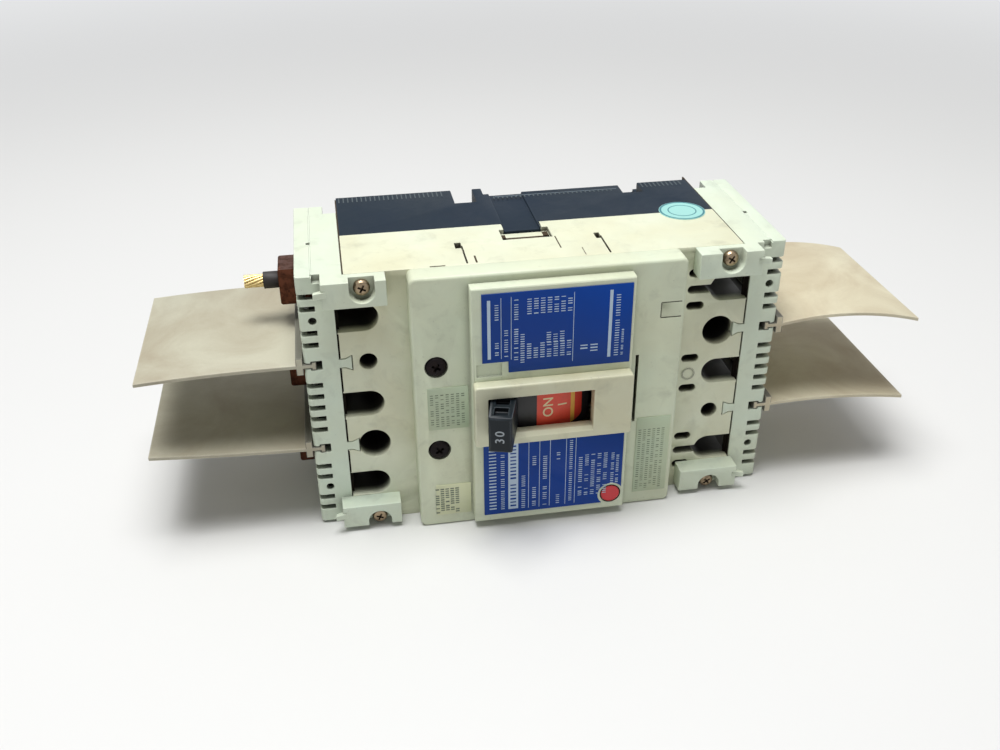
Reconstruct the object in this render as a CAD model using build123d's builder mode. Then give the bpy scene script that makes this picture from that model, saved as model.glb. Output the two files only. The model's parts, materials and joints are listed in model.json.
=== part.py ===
"""Three-pole moulded-case circuit breaker with end covers, phase barriers and cable lugs.

Frame, in millimetres: the mounting face is Y = 0 and the front faces -Y. X runs from the line end (-X) to
the load end (+X). Z runs across the poles, and the breaker lies on its long side, so +Z is up.
"Depth" means the distance in front of the mounting face, so a point at depth d has Y = -d.
The origin is the middle of the two mounting screws, on the mounting face.
"""
from build123d import *
import math
import os

os.makedirs("parts", exist_ok=True)

# ---------------------------------------------------------------- driving dimensions
pole_pitch = 30.0              # distance between the poles' centre lines
body_length = 121.0            # base and main cover, along X
outer_wall = 3.5               # housing wall outside the outer poles
base_depth = 32.7              # mounting face to the joint between base and main cover
cover_depth = 28.3             # joint to the shoulder beside the terminals
centre_rise = 7.4              # centre cover's front above the shoulder
plate_rise = 4.2               # nameplate block above the centre cover
escutcheon_rise = 4.1          # escutcheon above the nameplate block
fit_gap = 0.3                  # clearance between parts that move or slide together
pin_gap = 0.05                 # radial clearance of a pin in its hole

# housing
chamber_half = 11.0            # half width of an arc chamber
cross_wall = 3.0               # between an arc chamber and the terminal chambers
chamber_floor = 14.0           # depth of the chambers' floor
terminal_half = 8.2            # half width of a terminal chamber
terminal_length = 13.5         # terminal chambers, in from the body's ends
terminal_roof = 44.0           # depth of the terminal chambers' roof
roof = 2.8                     # main cover's roof thickness
nose_inset = 9.5               # the main cover's noses stop this far short of the sides
driver_slot_half = 4.45        # half width of the slots above the terminal screws
driver_slot_inset = 4.75       # centre of the slots' round ends, in from the body's ends

# mounting
mount_inset = 5.25             # mounting, cover and terminal screws, in from the body's ends
mount_hole_r = 2.3             # clearance for an M4 screw
mount_counterbore_r = 5.0
mount_seat_depth = 9.0
cover_screw_hole_r = 2.7
cover_screw_seat = 38.0
inner_screw_x = 38.0

# current path
strap_back = 22.0              # depth of the terminal straps' rear face
strap_thickness = 3.0
strap_half = 7.0
strap_inset = 0.5
line_strap_inner = 20.0
load_strap_inner = 26.0
tip_length = 6.0
tip_thickness = 1.6
tip_half = 3.0
contact_tip_x = -24.0
shaft_x = 10.0                 # contact shaft
shaft_depth = 24.0
shaft_r = 4.5
arm_ring_r = 7.2
arm_half = 2.5
arm_overhang = 4.0
contact_gap = 0.3

# handle
handle_x = -4.3                # handle pivot
handle_depth = 30.5
handle_on_angle = -15.0        # lean towards the line end
handle_travel = 29.0           # from ON to OFF
skirt_gap = 0.6                # skirt under the nameplate block's front face
skirt_thickness = 1.7
skirt_half_angle = 38.0
skirt_half_width = 8.2
knob_length = 15.9             # the knob stands out of the skirt by this
knob_root_half = 3.95
knob_tip_half = 3.5
knob_half_width = 6.1
yoke_inner = 7.2
yoke_thickness = 1.6
pivot_pin_r = 1.5

# trip parts
trip_bar_x = 28.0
trip_bar_depth = 48.0
trip_bar_r = 3.0
button_x = 19.4
button_z = -36.0
button_r = 3.1
button_stem_r = 1.8

# end covers
end_length = 14.0              # the end covers stand out of the body by this
end_wall = 2.0
comb_width = 10.5
comb_thickness = 2.2
arm_rise = 6.0                 # the fixing arms stand this far off the shoulder
line_arm_inset = 11.9          # the arms reach this far over the main cover
load_arm_inset = 15.3
vent_pitch = 4.0
end_screw_inset = 4.9
end_screw_edge = 3.3           # in from the body's sides

# barriers, lugs and wire
barrier_sheet = 47.6           # sheet length outside the flange
barrier_depth = 58.0
barrier_thickness = 1.2
lug_block_gap = 2.0            # body's end to the lug's barrel block
lug_block_length = 17.9
lug_half = 6.0
lug_thickness = 11.0
lug_bore_r = 3.1
tongue_thickness = 3.0
tongue_length = 11.0           # in from the body's end
wire_r = 2.15
sleeve_r = 2.7
bare_wire = 5.9                # strands seen beyond the sleeve
sleeve_length = 5.0

label_thickness = 0.3
label_gap = 0.1                # labels stand this far proud of their recess

# ---------------------------------------------------------------- sizes that follow
pole_centres = (pole_pitch, 0.0, -pole_pitch)
half_length = body_length / 2
body_width = 2 * (pole_pitch + chamber_half + outer_wall)
half_width = body_width / 2
nose_half = half_width - nose_inset
terminal_start = half_length - terminal_length
chamber_end = terminal_start - cross_wall
driver_slot_x = half_length - driver_slot_inset
mount_x = half_length - mount_inset
strap_end = half_length - strap_inset
arm_tip_x = contact_tip_x - arm_overhang
end_reach = half_length + end_length
comb_inner = end_reach - comb_width
nose_reach = comb_inner - fit_gap - half_length   # the noses of the main cover reach up to the comb plates
end_screw_x = half_length - end_screw_inset
end_screw_z = half_width - end_screw_edge
lug_block_start = half_length + lug_block_gap
lug_reach = lug_block_start + lug_block_length
shoulder = base_depth + cover_depth
roof_back = shoulder - roof
centre_front = shoulder + centre_rise
plate_front = centre_front + plate_rise
escutcheon_front = plate_front + escutcheon_rise
skirt_r = plate_front - skirt_gap - handle_depth
knob_reach = skirt_r + knob_length
strap_front = strap_back + strap_thickness
wall_z = pole_pitch / 2        # middle of a wall between two poles
both = (-1, 1)


# ---------------------------------------------------------------- shapes used again and again
def block(x, depth, z, mode=Mode.ADD):
    """A box given by its spans along X, depth and Z."""
    with BuildSketch(Plane.XZ.offset(depth[0])) as outline:
        with Locations(((x[0] + x[1]) / 2, (z[0] + z[1]) / 2)):
            Rectangle(abs(x[1] - x[0]), abs(z[1] - z[0]))
    extrude(outline.sketch, amount=depth[1] - depth[0], mode=mode)


def rod_z(x, depth, z, r, mode=Mode.ADD):
    """A round bar across the poles."""
    with BuildSketch(Plane.XY.offset(z[0])) as outline:
        with Locations((x, -depth)):
            Circle(r)
    extrude(outline.sketch, amount=z[1] - z[0], mode=mode)


def rod_depth(x, z, depth, r, mode=Mode.ADD):
    """A round bar that points to the front."""
    with BuildSketch(Plane.XZ.offset(depth[0])) as outline:
        with Locations((x, z)):
            Circle(r)
    extrude(outline.sketch, amount=depth[1] - depth[0], mode=mode)


def rod_x(x, depth, z, r, mode=Mode.ADD):
    """A round bar along the breaker."""
    with BuildSketch(Plane.YZ.offset(x[0])) as outline:
        with Locations((-depth, z)):
            Circle(r)
    extrude(outline.sketch, amount=x[1] - x[0], mode=mode)


def profile_z(points, z, mode=Mode.ADD):
    """A plate across the poles, from (x, depth) points."""
    with BuildSketch(Plane.XY.offset(z[0])) as outline:
        with BuildLine():
            Polyline([(x, -depth) for x, depth in points], close=True)
        make_face()
    extrude(outline.sketch, amount=z[1] - z[0], mode=mode)


def profile_depth(points, depth, mode=Mode.ADD):
    """A plate parallel to the mounting face, from (x, z) points."""
    with BuildSketch(Plane.XZ.offset(depth[0])) as outline:
        with BuildLine():
            Polyline(list(points), close=True)
        make_face()
    extrude(outline.sketch, amount=depth[1] - depth[0], mode=mode)


def around(centre, half):
    """The span that reaches half each way from a centre."""
    return (centre - half, centre + half)


def span(side, near, far):
    """The span from near to far on one side of the middle, in rising order."""
    return tuple(sorted((side * near, side * far)))


def save(piece, name):
    """Label a finished piece and write it out."""
    piece.part.label = name
    export_step(piece.part, f"parts/{name}.step")


# ---------------------------------------------------------------- base
rail_channel = (-11.0, 36.0)           # recess for a rail adapter, along X
rail_channel_depth = 5.6
side_notches = (((-21.5, -14.2), 12.0), ((rail_channel[1], 43.0), 13.0))
side_notch_inset = 5.0
load_relief = 4.5
load_relief_inset = 4.0
base_tab = (-9.2, 2.4)
base_tab_front = 37.0
side_recess = (-9.2, 2.0)
side_recess_inset = 0.7
pocket_floor = 3.0
shaft_slot_half = shaft_r + fit_gap
nut_half = 4.0
nut_thickness = 3.5
terminal_screw_r = 2.4
chute_span = (1.0 - chamber_end, -25.0)
link_span = (shaft_x + arm_ring_r + 0.5, load_strap_inner + 7.0)   # flexible links, along X
wall_half = wall_z - chamber_half      # half thickness of the walls between the poles
post_half = 3.1

with BuildPart() as base:
    block((-half_length, half_length), (0, base_depth), (-half_width, half_width))
    for side in both:
        block(base_tab, (base_depth, base_tab_front), span(side, half_width - 3.0, half_width))
        block(side_recess, (0, base_tab_front), span(side, half_width - side_recess_inset, half_width),
              Mode.SUBTRACT)
        for notch, notch_depth in side_notches:
            block(notch, (0, notch_depth), span(side, half_width - side_notch_inset, half_width),
                  Mode.SUBTRACT)
        block((side_notches[1][0][1], half_length), (0, load_relief),
              span(side, half_width - load_relief_inset, half_width), Mode.SUBTRACT)
    block(rail_channel, (0, rail_channel_depth), (-half_width, half_width), Mode.SUBTRACT)
    for pole in pole_centres:
        # arc chamber, then the strap's way out at each end
        block((-chamber_end, chamber_end), (chamber_floor, base_depth), around(pole, chamber_half),
              Mode.SUBTRACT)
        for side in both:
            block(span(side, chamber_end, terminal_start), (strap_back, base_depth),
                  around(pole, strap_half + fit_gap), Mode.SUBTRACT)
            block(span(side, terminal_start, half_length), (strap_back, base_depth),
                  around(pole, terminal_half), Mode.SUBTRACT)
            block(around(side * mount_x, nut_half + 0.1), (strap_back - nut_thickness, strap_back),
                  around(pole, nut_half + 0.1), Mode.SUBTRACT)
            rod_depth(side * mount_x, pole, (chamber_floor, strap_back), terminal_screw_r + 0.2, Mode.SUBTRACT)
        # ledges that carry the straps' inner ends
        block((contact_tip_x - 6.0, -line_strap_inner - 1.0), (chamber_floor, strap_back),
              around(pole, strap_half))
        block((link_span[1] + 1.0, chamber_end), (chamber_floor, strap_back), around(pole, strap_half))
        # rear pockets that keep the moulding's walls even
        for pocket in ((-chamber_end - 1.0, -25.0), (-8.0, 11.5), (14.5, 33.0)):
            block(pocket, (0, chamber_floor - pocket_floor), around(pole, chamber_half - 1.5), Mode.SUBTRACT)
    for wall in (-wall_z, wall_z):
        block(around(shaft_x, shaft_slot_half), (shaft_depth, base_depth), around(wall, wall_half),
              Mode.SUBTRACT)
        rod_z(shaft_x, shaft_depth, around(wall, wall_half), shaft_slot_half, Mode.SUBTRACT)
        # posts that close the trip bar's bearings
        block(around(trip_bar_x, post_half), (base_depth, trip_bar_depth - trip_bar_r - fit_gap),
              around(wall, wall_half - fit_gap))
        rod_depth(inner_screw_x, wall, (chamber_floor + 2, base_depth), 1.4, Mode.SUBTRACT)
    for side in both:
        # a mounting screw and a cover screw at each end, on opposite diagonals
        rod_depth(side * mount_x, side * wall_z, (0, mount_seat_depth), mount_hole_r, Mode.SUBTRACT)
        rod_depth(side * mount_x, side * wall_z, (mount_seat_depth, base_depth),
                  mount_counterbore_r - 0.4, Mode.SUBTRACT)
        rod_depth(side * mount_x, -side * wall_z, (chamber_floor + 2, base_depth), 1.4, Mode.SUBTRACT)
save(base, "base")

# ---------------------------------------------------------------- main cover
tab_neck_half = 1.4                    # dovetail tabs that lock the comb plates to the cover
tab_head_half = 2.4
tab_tip = comb_inner - 3.8
tab_thickness = 2.0
vent_x = (half_length - 16.4, half_length - 10.8)
vent_half = 1.35
vent_offset = 5.6
mark_x = half_length - 13.9
mark_r = 2.2
opening_margin = 3.1
skirt_swing = skirt_r * math.sin(math.radians(skirt_half_angle - handle_on_angle))
arc_opening = (handle_x - skirt_swing - opening_margin, handle_x + skirt_swing + opening_margin)
arc_opening_half = skirt_half_width + 1.2
skirt_clear_half = skirt_half_width + 0.5
trip_slot_half = trip_bar_r + 0.4
side_window = (base_tab[0] - 1.8, base_tab[1] + 2.1)
side_window_inset = 1.6
cover_slits = ((-24.2, -26.2), (19.2, 17.6))   # slit and the far side of its end hole, along X
centre_span = (-42.5, 41.0)
boss_x = centre_span[0] + 7.0          # centre cover screws
boss_screw_r = 1.5


def dovetail(side, grow):
    """Outline of a tab from the comb plate's inner edge to its tip."""
    return [(side * (comb_inner + 1.0), tab_neck_half + grow), (side * (tab_tip + 2.0), tab_neck_half + grow),
            (side * (tab_tip - grow), tab_head_half + grow), (side * (tab_tip - grow), -tab_head_half - grow),
            (side * (tab_tip + 2.0), -tab_neck_half - grow), (side * (comb_inner + 1.0), -tab_neck_half - grow)]


with BuildPart() as main_cover:
    block((-half_length, half_length), (base_depth, shoulder), (-half_width, half_width))
    block((-half_length - nose_reach, half_length + nose_reach), (base_depth + 1, shoulder),
          (-nose_half, nose_half))
    for pole in pole_centres:
        block((-chamber_end, chamber_end), (base_depth, roof_back), around(pole, chamber_half), Mode.SUBTRACT)
        for side in both:
            end = half_length + nose_reach
            block(span(side, terminal_start, end), (base_depth, terminal_roof), around(pole, terminal_half),
                  Mode.SUBTRACT)
            block(span(side, driver_slot_x, end), (terminal_roof, shoulder),
                  around(pole, driver_slot_half), Mode.SUBTRACT)
            rod_depth(side * driver_slot_x, pole, (terminal_roof, shoulder), driver_slot_half, Mode.SUBTRACT)
        for offset in (-vent_offset, 0.0, vent_offset):
            if pole == 0 and offset == 0:
                continue
            block((vent_x[0] + vent_half, vent_x[1] - vent_half), (terminal_roof, shoulder),
                  around(pole + offset, vent_half), Mode.SUBTRACT)
            for end in (vent_x[0] + vent_half, vent_x[1] - vent_half):
                rod_depth(end, pole + offset, (terminal_roof, shoulder), vent_half, Mode.SUBTRACT)
        if pole != 0:
            block((vent_x[1] - vent_half - 1.0, driver_slot_x), (terminal_roof, shoulder),
                  around(pole, vent_half), Mode.SUBTRACT)
    block(arc_opening, (roof_back, shoulder), (-arc_opening_half, arc_opening_half), Mode.SUBTRACT)
    rod_depth(button_x, button_z, (roof_back, shoulder), button_stem_r + fit_gap, Mode.SUBTRACT)
    for wall in (-wall_z, wall_z):
        block(around(trip_bar_x, trip_slot_half), (base_depth, trip_bar_depth), around(wall, wall_half),
              Mode.SUBTRACT)
        rod_z(trip_bar_x, trip_bar_depth, around(wall, wall_half), trip_slot_half, Mode.SUBTRACT)
        rod_depth(boss_x, wall, (shoulder - 10, shoulder), boss_screw_r, Mode.SUBTRACT)
        rod_depth(inner_screw_x, wall, (cover_screw_seat, shoulder), cover_screw_hole_r, Mode.SUBTRACT)
        rod_depth(inner_screw_x, wall, (base_depth, cover_screw_seat), 1.6, Mode.SUBTRACT)
        for side in both:
            profile_depth([(x, z + wall) for x, z in dovetail(side, 0.25)],
                          (shoulder - tab_thickness - 0.2, shoulder), Mode.SUBTRACT)
    for side in both:
        rod_depth(side * mount_x, side * wall_z, (base_depth, shoulder), mount_counterbore_r, Mode.SUBTRACT)
        rod_depth(side * mount_x, -side * wall_z, (cover_screw_seat, shoulder), cover_screw_hole_r,
                  Mode.SUBTRACT)
        rod_depth(side * mount_x, -side * wall_z, (base_depth, cover_screw_seat), 1.6, Mode.SUBTRACT)
        for edge in both:
            rod_depth(side * end_screw_x, edge * end_screw_z, (shoulder - 9.5, shoulder), 1.25, Mode.SUBTRACT)
        # posts that keep the contact shaft in its slots
        block(around(shaft_x, shaft_slot_half - fit_gap),
              (shaft_depth + shaft_r + fit_gap, base_depth), around(side * wall_z, wall_half - fit_gap))
        # the base's tab, and the recess and slits along the side
        block((base_tab[0] - fit_gap, base_tab[1] + fit_gap), (base_depth, base_tab_front + 0.2),
              span(side, half_width - 3.0 - fit_gap, half_width), Mode.SUBTRACT)
        block(side_window, (base_tab_front, base_tab_front + 8.1), span(side, half_width - side_window_inset, half_width),
              Mode.SUBTRACT)
        for slit, hole in cover_slits:
            block(around(slit, 0.25), (47.0, 60.0), span(side, half_width - 1.2, half_width), Mode.SUBTRACT)
            block(tuple(sorted((slit, hole))), (44.6, 48.8), span(side, half_width - 2.0, half_width),
                  Mode.SUBTRACT)
    # raised ring that closes off the middle vent
    rod_depth(mark_x, 0.0, (shoulder, shoulder + 0.3), mark_r)
    rod_depth(mark_x, 0.0, (shoulder, shoulder + 0.3), mark_r - 0.5, Mode.SUBTRACT)
save(main_cover, "main_cover")

# ---------------------------------------------------------------- centre cover
plate_span = (-25.3, 24.0)
plate_half = half_width - 2.7
skin = 2.0
arc_cut = (-24.8, 17.8)
groove_x = 26.9
groove_half = 0.5
knockout_x = (centre_span[1] - 7.6, centre_span[1] - 1.2)
knockout_z = (25.3, 30.4)
small_window_x = (-24.0, -16.3)
small_window_z = (12.6, 16.8)
boss_r = 5.0
centre_screw_head_r = 3.3

with BuildPart() as centre_cover:
    block(centre_span, (shoulder, centre_front), (-half_width, half_width))
    fillet(centre_cover.edges().filter_by(Axis.Y), 2.0)
    fillet(centre_cover.faces().sort_by(Axis.Y)[0].edges(), 1.0)
    block(plate_span, (centre_front, plate_front), (-plate_half, plate_half))
    fillet(centre_cover.faces().sort_by(Axis.Y)[0].edges(), 0.6)
    block((centre_span[0] + skin, centre_span[1] - skin), (shoulder, centre_front - skin),
          (-half_width + skin, half_width - skin), Mode.SUBTRACT)
    block((plate_span[0] + skin, plate_span[1] - skin), (centre_front - skin, plate_front - skin),
          (-plate_half + skin, plate_half - skin), Mode.SUBTRACT)
    for wall in (-wall_z, wall_z):
        rod_depth(boss_x, wall, (shoulder, centre_front - skin), boss_r - 1.0)
        rod_depth(boss_x, wall, (centre_front - 1.0, centre_front), centre_screw_head_r + 0.3, Mode.SUBTRACT)
        rod_depth(boss_x, wall, (shoulder, centre_front), boss_screw_r + 0.1, Mode.SUBTRACT)
    # the handle's skirt swings through here, under the escutcheon
    block(arc_cut, (centre_front - skin, plate_front), (-skirt_clear_half, skirt_clear_half), Mode.SUBTRACT)
    block((-28.5, arc_cut[0]), (centre_front - skin, centre_front - skin + 0.8),
          (-skirt_clear_half, skirt_clear_half), Mode.SUBTRACT)
    # trip button's guide
    rod_depth(button_x, button_z, (shoulder, plate_front - skin), button_r + 1.6)
    rod_depth(button_x, button_z, (shoulder + 2.0, plate_front), button_r + 0.1, Mode.SUBTRACT)
    rod_depth(button_x, button_z, (shoulder, shoulder + 2.0), button_stem_r + fit_gap, Mode.SUBTRACT)
    block(around(groove_x, groove_half), (centre_front - skin, centre_front), (-11.5, 13.0), Mode.SUBTRACT)
    block(small_window_x, (plate_front - 0.6, plate_front), small_window_z, Mode.SUBTRACT)
    # score line round the knock-out for an accessory
    for z in knockout_z:
        block(knockout_x, (centre_front - 0.4, centre_front), around(z, 0.2), Mode.SUBTRACT)
    block(around(knockout_x[0], 0.2), (centre_front - 0.4, centre_front), knockout_z, Mode.SUBTRACT)
save(centre_cover, "centre_cover")

# ---------------------------------------------------------------- escutcheon round the handle
escutcheon_span = (plate_span[0] + 0.1, plate_span[1] - 0.2)
escutcheon_z = (-10.0, 11.2)
window_z = (-knob_half_width - fit_gap, knob_half_width + 0.8)


def knob_edge(angle, side):
    """Where a side of the knob crosses the escutcheon's front, at one angle of the handle."""
    tilt = math.radians(angle)
    rise = escutcheon_front - handle_depth
    along = (rise + side * knob_root_half * math.sin(tilt)) / math.cos(tilt)
    return handle_x + along * math.sin(tilt) + side * knob_root_half * math.cos(tilt)


window_span = (knob_edge(handle_on_angle, -1) - fit_gap,
               knob_edge(handle_on_angle + handle_travel, 1) + fit_gap)

with BuildPart() as escutcheon:
    block(escutcheon_span, (plate_front, escutcheon_front), escutcheon_z)
    fillet(escutcheon.edges().filter_by(Axis.Y), 1.0)
    fillet(escutcheon.faces().sort_by(Axis.Y)[0].edges(), 0.6)
    block(window_span, (plate_front, escutcheon_front), window_z, Mode.SUBTRACT)
    rim = escutcheon.faces().sort_by(Axis.Y)[0].inner_wires()[0].edges()
    chamfer(rim.filter_by(Axis.X).sort_by(Axis.Z)[0], 1.2)
save(escutcheon, "escutcheon")

# ---------------------------------------------------------------- end covers
rear_gap = 6.6                         # the end covers stop this far in front of the mounting face
rear_step = 13.0
rear_step_length = 4.3
end_top = half_width - 0.1
end_bottom = -half_width + 1.0
end_side_wall = 2.6
side_lip = half_length + 0.4           # inner edge of the side plates
arm_top_z = (end_top - 8.2, end_top)
arm_bottom_z = (end_bottom + 0.8, end_bottom + 8.7)
comb_round = 1.3                       # rounding of the comb plate's outer edge
hook_thickness = 1.5
screw_recess_r = 3.7
screw_floor = shoulder + 2.3
lug_window_half = 7.6
lug_window_depth = (21.0, 40.0)
barrier_slot_half = 1.55
neck_half = 0.95
rail_reach = 3.4
rail_half = 3.2


def end_cover(side, arm_reach, arm_start):
    """One end cover: end wall, side plates, comb plate, fixing arms and barrier rails."""
    wall_inner = end_reach - end_wall
    with BuildPart() as cover:
        block(span(side, side_lip, end_reach), (rear_gap, shoulder), (end_bottom, end_top))
        outer_edges = cover.edges().filter_by(Axis.Z).group_by(Axis.X)[0 if side < 0 else -1]
        fillet(outer_edges.sort_by(Axis.Y)[0], comb_round)
        block(span(side, side_lip, wall_inner), (rear_gap + 2.0, shoulder - comb_thickness),
              (end_bottom + end_side_wall, end_top - end_side_wall), Mode.SUBTRACT)
        block(span(side, side_lip, comb_inner), (rear_gap, shoulder), (-nose_half - 0.4, nose_half + 0.4),
              Mode.SUBTRACT)
        block(span(side, side_lip, side_lip + rear_step_length), (rear_gap, rear_step), (end_bottom, end_top), Mode.SUBTRACT)
        # fixing arms, which start beside the comb's slots
        for arm_z in (arm_top_z, arm_bottom_z):
            block(span(side, arm_reach, arm_start), (shoulder, shoulder + arm_rise), arm_z)
        # rails that hold the barriers' beads
        for wall in (-wall_z, wall_z):
            block(span(side, wall_inner - rail_reach, wall_inner), (rear_gap + 2.0, shoulder - comb_thickness),
                  around(wall, rail_half))
            block(span(side, wall_inner - rail_reach, wall_inner), (rear_gap + 2.0, shoulder),
                  around(wall, barrier_slot_half), Mode.SUBTRACT)
            block(span(side, wall_inner, end_reach), (rear_gap + 2.0, shoulder), around(wall, neck_half),
                  Mode.SUBTRACT)
            profile_depth([(x, z + wall) for x, z in dovetail(side, 0.0)], (shoulder - tab_thickness, shoulder))
        for pole in pole_centres:
            block(span(side, wall_inner, end_reach), lug_window_depth, around(pole, lug_window_half),
                  Mode.SUBTRACT)
            for row in (-2, -1, 1, 2):
                vent_z = around(pole + row * vent_pitch, 0.85)
                block(span(side, end_reach - 5.0, end_reach), (shoulder - 5.0, shoulder), vent_z, Mode.SUBTRACT)
            if pole != 0:
                rod_depth(side * (end_reach - 3.9), pole, (shoulder - comb_thickness, shoulder), 1.2,
                          Mode.SUBTRACT)
            else:
                block(span(side, end_reach - 5.0, end_reach), (shoulder - 5.0, shoulder), around(pole, 0.85),
                      Mode.SUBTRACT)
        for edge in both:
            arm_z = arm_top_z if edge > 0 else arm_bottom_z
            outer = span(edge, end_screw_z, half_width + 1)
            block(around(side * end_screw_x, screw_recess_r), (screw_floor, shoulder + arm_rise), outer,
                  Mode.SUBTRACT)
            rod_depth(side * end_screw_x, edge * end_screw_z, (screw_floor, shoulder + arm_rise),
                      screw_recess_r, Mode.SUBTRACT)
            rod_depth(side * end_screw_x, edge * end_screw_z, (shoulder, screw_floor), 1.35, Mode.SUBTRACT)
            # snap hook that reaches out of each arm, over the comb's slots
            hook = [(side * (arm_start - 1.5), screw_floor + hook_thickness),
                    (side * (arm_start + 2.3), shoulder + arm_rise - 0.4),
                    (side * (arm_start + 2.3), shoulder + arm_rise + 1.2),
                    (side * (arm_start - 1.5), shoulder + arm_rise + 0.1)]
            profile_z(hook, (arm_z[1] - 4.2, arm_z[1] - 2.4) if edge > 0 else (arm_z[0] + 3.9, arm_z[0] + 5.7))
        # finger notch, score line and small hole on the upper side plate
        block(span(side, end_reach - 7.2, end_reach - 4.8), (shoulder - 1.6, shoulder), (end_top - 2.2, end_top),
              Mode.SUBTRACT)
        block(around(side * (end_reach - 4.7), 0.2), (rear_gap, shoulder), (end_top - 0.4, end_top), Mode.SUBTRACT)
        block(around(side * (end_reach - 4.2), 0.5), around(shoulder - 24.2, 0.7), (end_top - 2.0, end_top),
              Mode.SUBTRACT)
    return cover


line_end_cover = end_cover(-1, half_length - line_arm_inset, end_reach - 7.2)
save(line_end_cover, "line_end_cover")
load_end_cover = end_cover(1, half_length - load_arm_inset, end_reach - 9.5)
save(load_end_cover, "load_end_cover")

# ---------------------------------------------------------------- phase barriers
bead_half = 1.3
bead_reach = (end_reach - end_wall - 1.6, end_reach - end_wall - fit_gap)
flange_reach = (end_reach + 0.3, end_reach + 2.4)
flange_half = 2.9
neck_thick_half = 0.7
barrier_reach = flange_reach[1] + barrier_sheet


def barrier(side, wall, bow, droop):
    """A fishpaper barrier: bead, neck, outer flange and a gently bowed sheet."""
    start = flange_reach[1]
    middle = (start + barrier_reach) / 2
    with BuildPart() as piece:
        block(span(side, *bead_reach), (rear_gap + 3.0, shoulder), around(wall, bead_half))
        block(span(side, bead_reach[1], flange_reach[0]), (rear_gap + 3.0, shoulder),
              around(wall, neck_thick_half))
        block(span(side, *flange_reach), (shoulder - barrier_depth, shoulder), around(wall, flange_half))
        with BuildSketch(Plane.XZ.offset(shoulder - barrier_depth)) as sheet:
            with BuildLine():
                top = ThreePointArc((side * start, wall + barrier_thickness / 2),
                                    (side * middle, wall + bow + barrier_thickness / 2),
                                    (side * barrier_reach, wall + droop + barrier_thickness / 2))
                low = ThreePointArc((side * start, wall - barrier_thickness / 2),
                                    (side * middle, wall + bow - barrier_thickness / 2),
                                    (side * barrier_reach, wall + droop - barrier_thickness / 2))
                Line(top @ 0, low @ 0)
                Line(top @ 1, low @ 1)
            make_face()
        extrude(sheet.sketch, amount=barrier_depth)
    return piece


barriers = (("barrier_line_upper", -1, wall_z, -0.2, -1.4), ("barrier_line_lower", -1, -wall_z, 0.9, 2.4),
            ("barrier_load_upper", 1, wall_z, 1.4, -2.8), ("barrier_load_lower", 1, -wall_z, 0.2, -2.4))
for name, side, wall, bow, droop in barriers:
    save(barrier(side, wall, bow, droop), name)

# ---------------------------------------------------------------- terminals and fixed contacts
for number, pole in enumerate(pole_centres, 1):
    with BuildPart() as line_terminal:
        block((-strap_end, -line_strap_inner), (strap_back, strap_front), around(pole, strap_half))
        rod_depth(-mount_x, pole, (strap_back, strap_front), terminal_screw_r + 0.2, Mode.SUBTRACT)
        fillet(line_terminal.edges().filter_by(Axis.Y).group_by(Axis.X)[0], 1.5)
    save(line_terminal, f"line_terminal_{number}")

    with BuildPart() as load_terminal:
        block((load_strap_inner, strap_end), (strap_back, strap_front), around(pole, strap_half))
        rod_depth(mount_x, pole, (strap_back, strap_front), terminal_screw_r + 0.2, Mode.SUBTRACT)
        fillet(load_terminal.edges().filter_by(Axis.Y).group_by(Axis.X)[-1], 1.5)
    save(load_terminal, f"load_terminal_{number}")

with BuildPart() as fixed_contact_tips:
    for pole in pole_centres:
        block(around(contact_tip_x, tip_length / 2), (strap_front, strap_front + tip_thickness),
              around(pole, tip_half))
save(fixed_contact_tips, "fixed_contact_tips")

screw_head_r = 4.1
screw_head = 3.4
washer = 1.0


def terminal_screw(x, pole, seat):
    """Pan-head screw with a cross recess, seated at the given depth."""
    rod_depth(x, pole, (strap_back - nut_thickness - 2.0, seat), terminal_screw_r)
    rod_depth(x, pole, (seat, seat + screw_head), screw_head_r)
    block(around(x, 0.5), (seat + screw_head - 1.8, seat + screw_head), around(pole, 2.4), Mode.SUBTRACT)
    block(around(x, 2.4), (seat + screw_head - 1.8, seat + screw_head), around(pole, 0.5), Mode.SUBTRACT)


with BuildPart() as line_terminal_screws:
    for pole in pole_centres:
        terminal_screw(-mount_x, pole, strap_front + tongue_thickness)
save(line_terminal_screws, "line_terminal_screws")

with BuildPart() as load_terminal_screws:
    for pole in pole_centres:
        terminal_screw(mount_x, pole, strap_front + washer)
save(load_terminal_screws, "load_terminal_screws")

with BuildPart() as terminal_washers:
    for pole in pole_centres:
        rod_depth(mount_x, pole, (strap_front, strap_front + washer), 5.0)
        rod_depth(mount_x, pole, (strap_front, strap_front + washer), terminal_screw_r, Mode.SUBTRACT)
save(terminal_washers, "terminal_washers")

with BuildPart() as terminal_nuts:
    for pole in pole_centres:
        for side in both:
            block(around(side * mount_x, nut_half), (strap_back - nut_thickness, strap_back),
                  around(pole, nut_half))
            rod_depth(side * mount_x, pole, (strap_back - nut_thickness, strap_back), terminal_screw_r,
                      Mode.SUBTRACT)
save(terminal_nuts, "terminal_nuts")

# ---------------------------------------------------------------- contact shaft and moving contacts
shaft_reach = pole_pitch + chamber_half - 0.6
arm_back = strap_front + 2 * tip_thickness + contact_gap
link_pin = (-4.0, 30.0)                # arm pin of the toggle, x and depth
small_pin_r = 1.3

with BuildPart() as contact_shaft:
    rod_z(shaft_x, shaft_depth, (-shaft_reach, shaft_reach), shaft_r)
save(contact_shaft, "contact_shaft")

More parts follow.
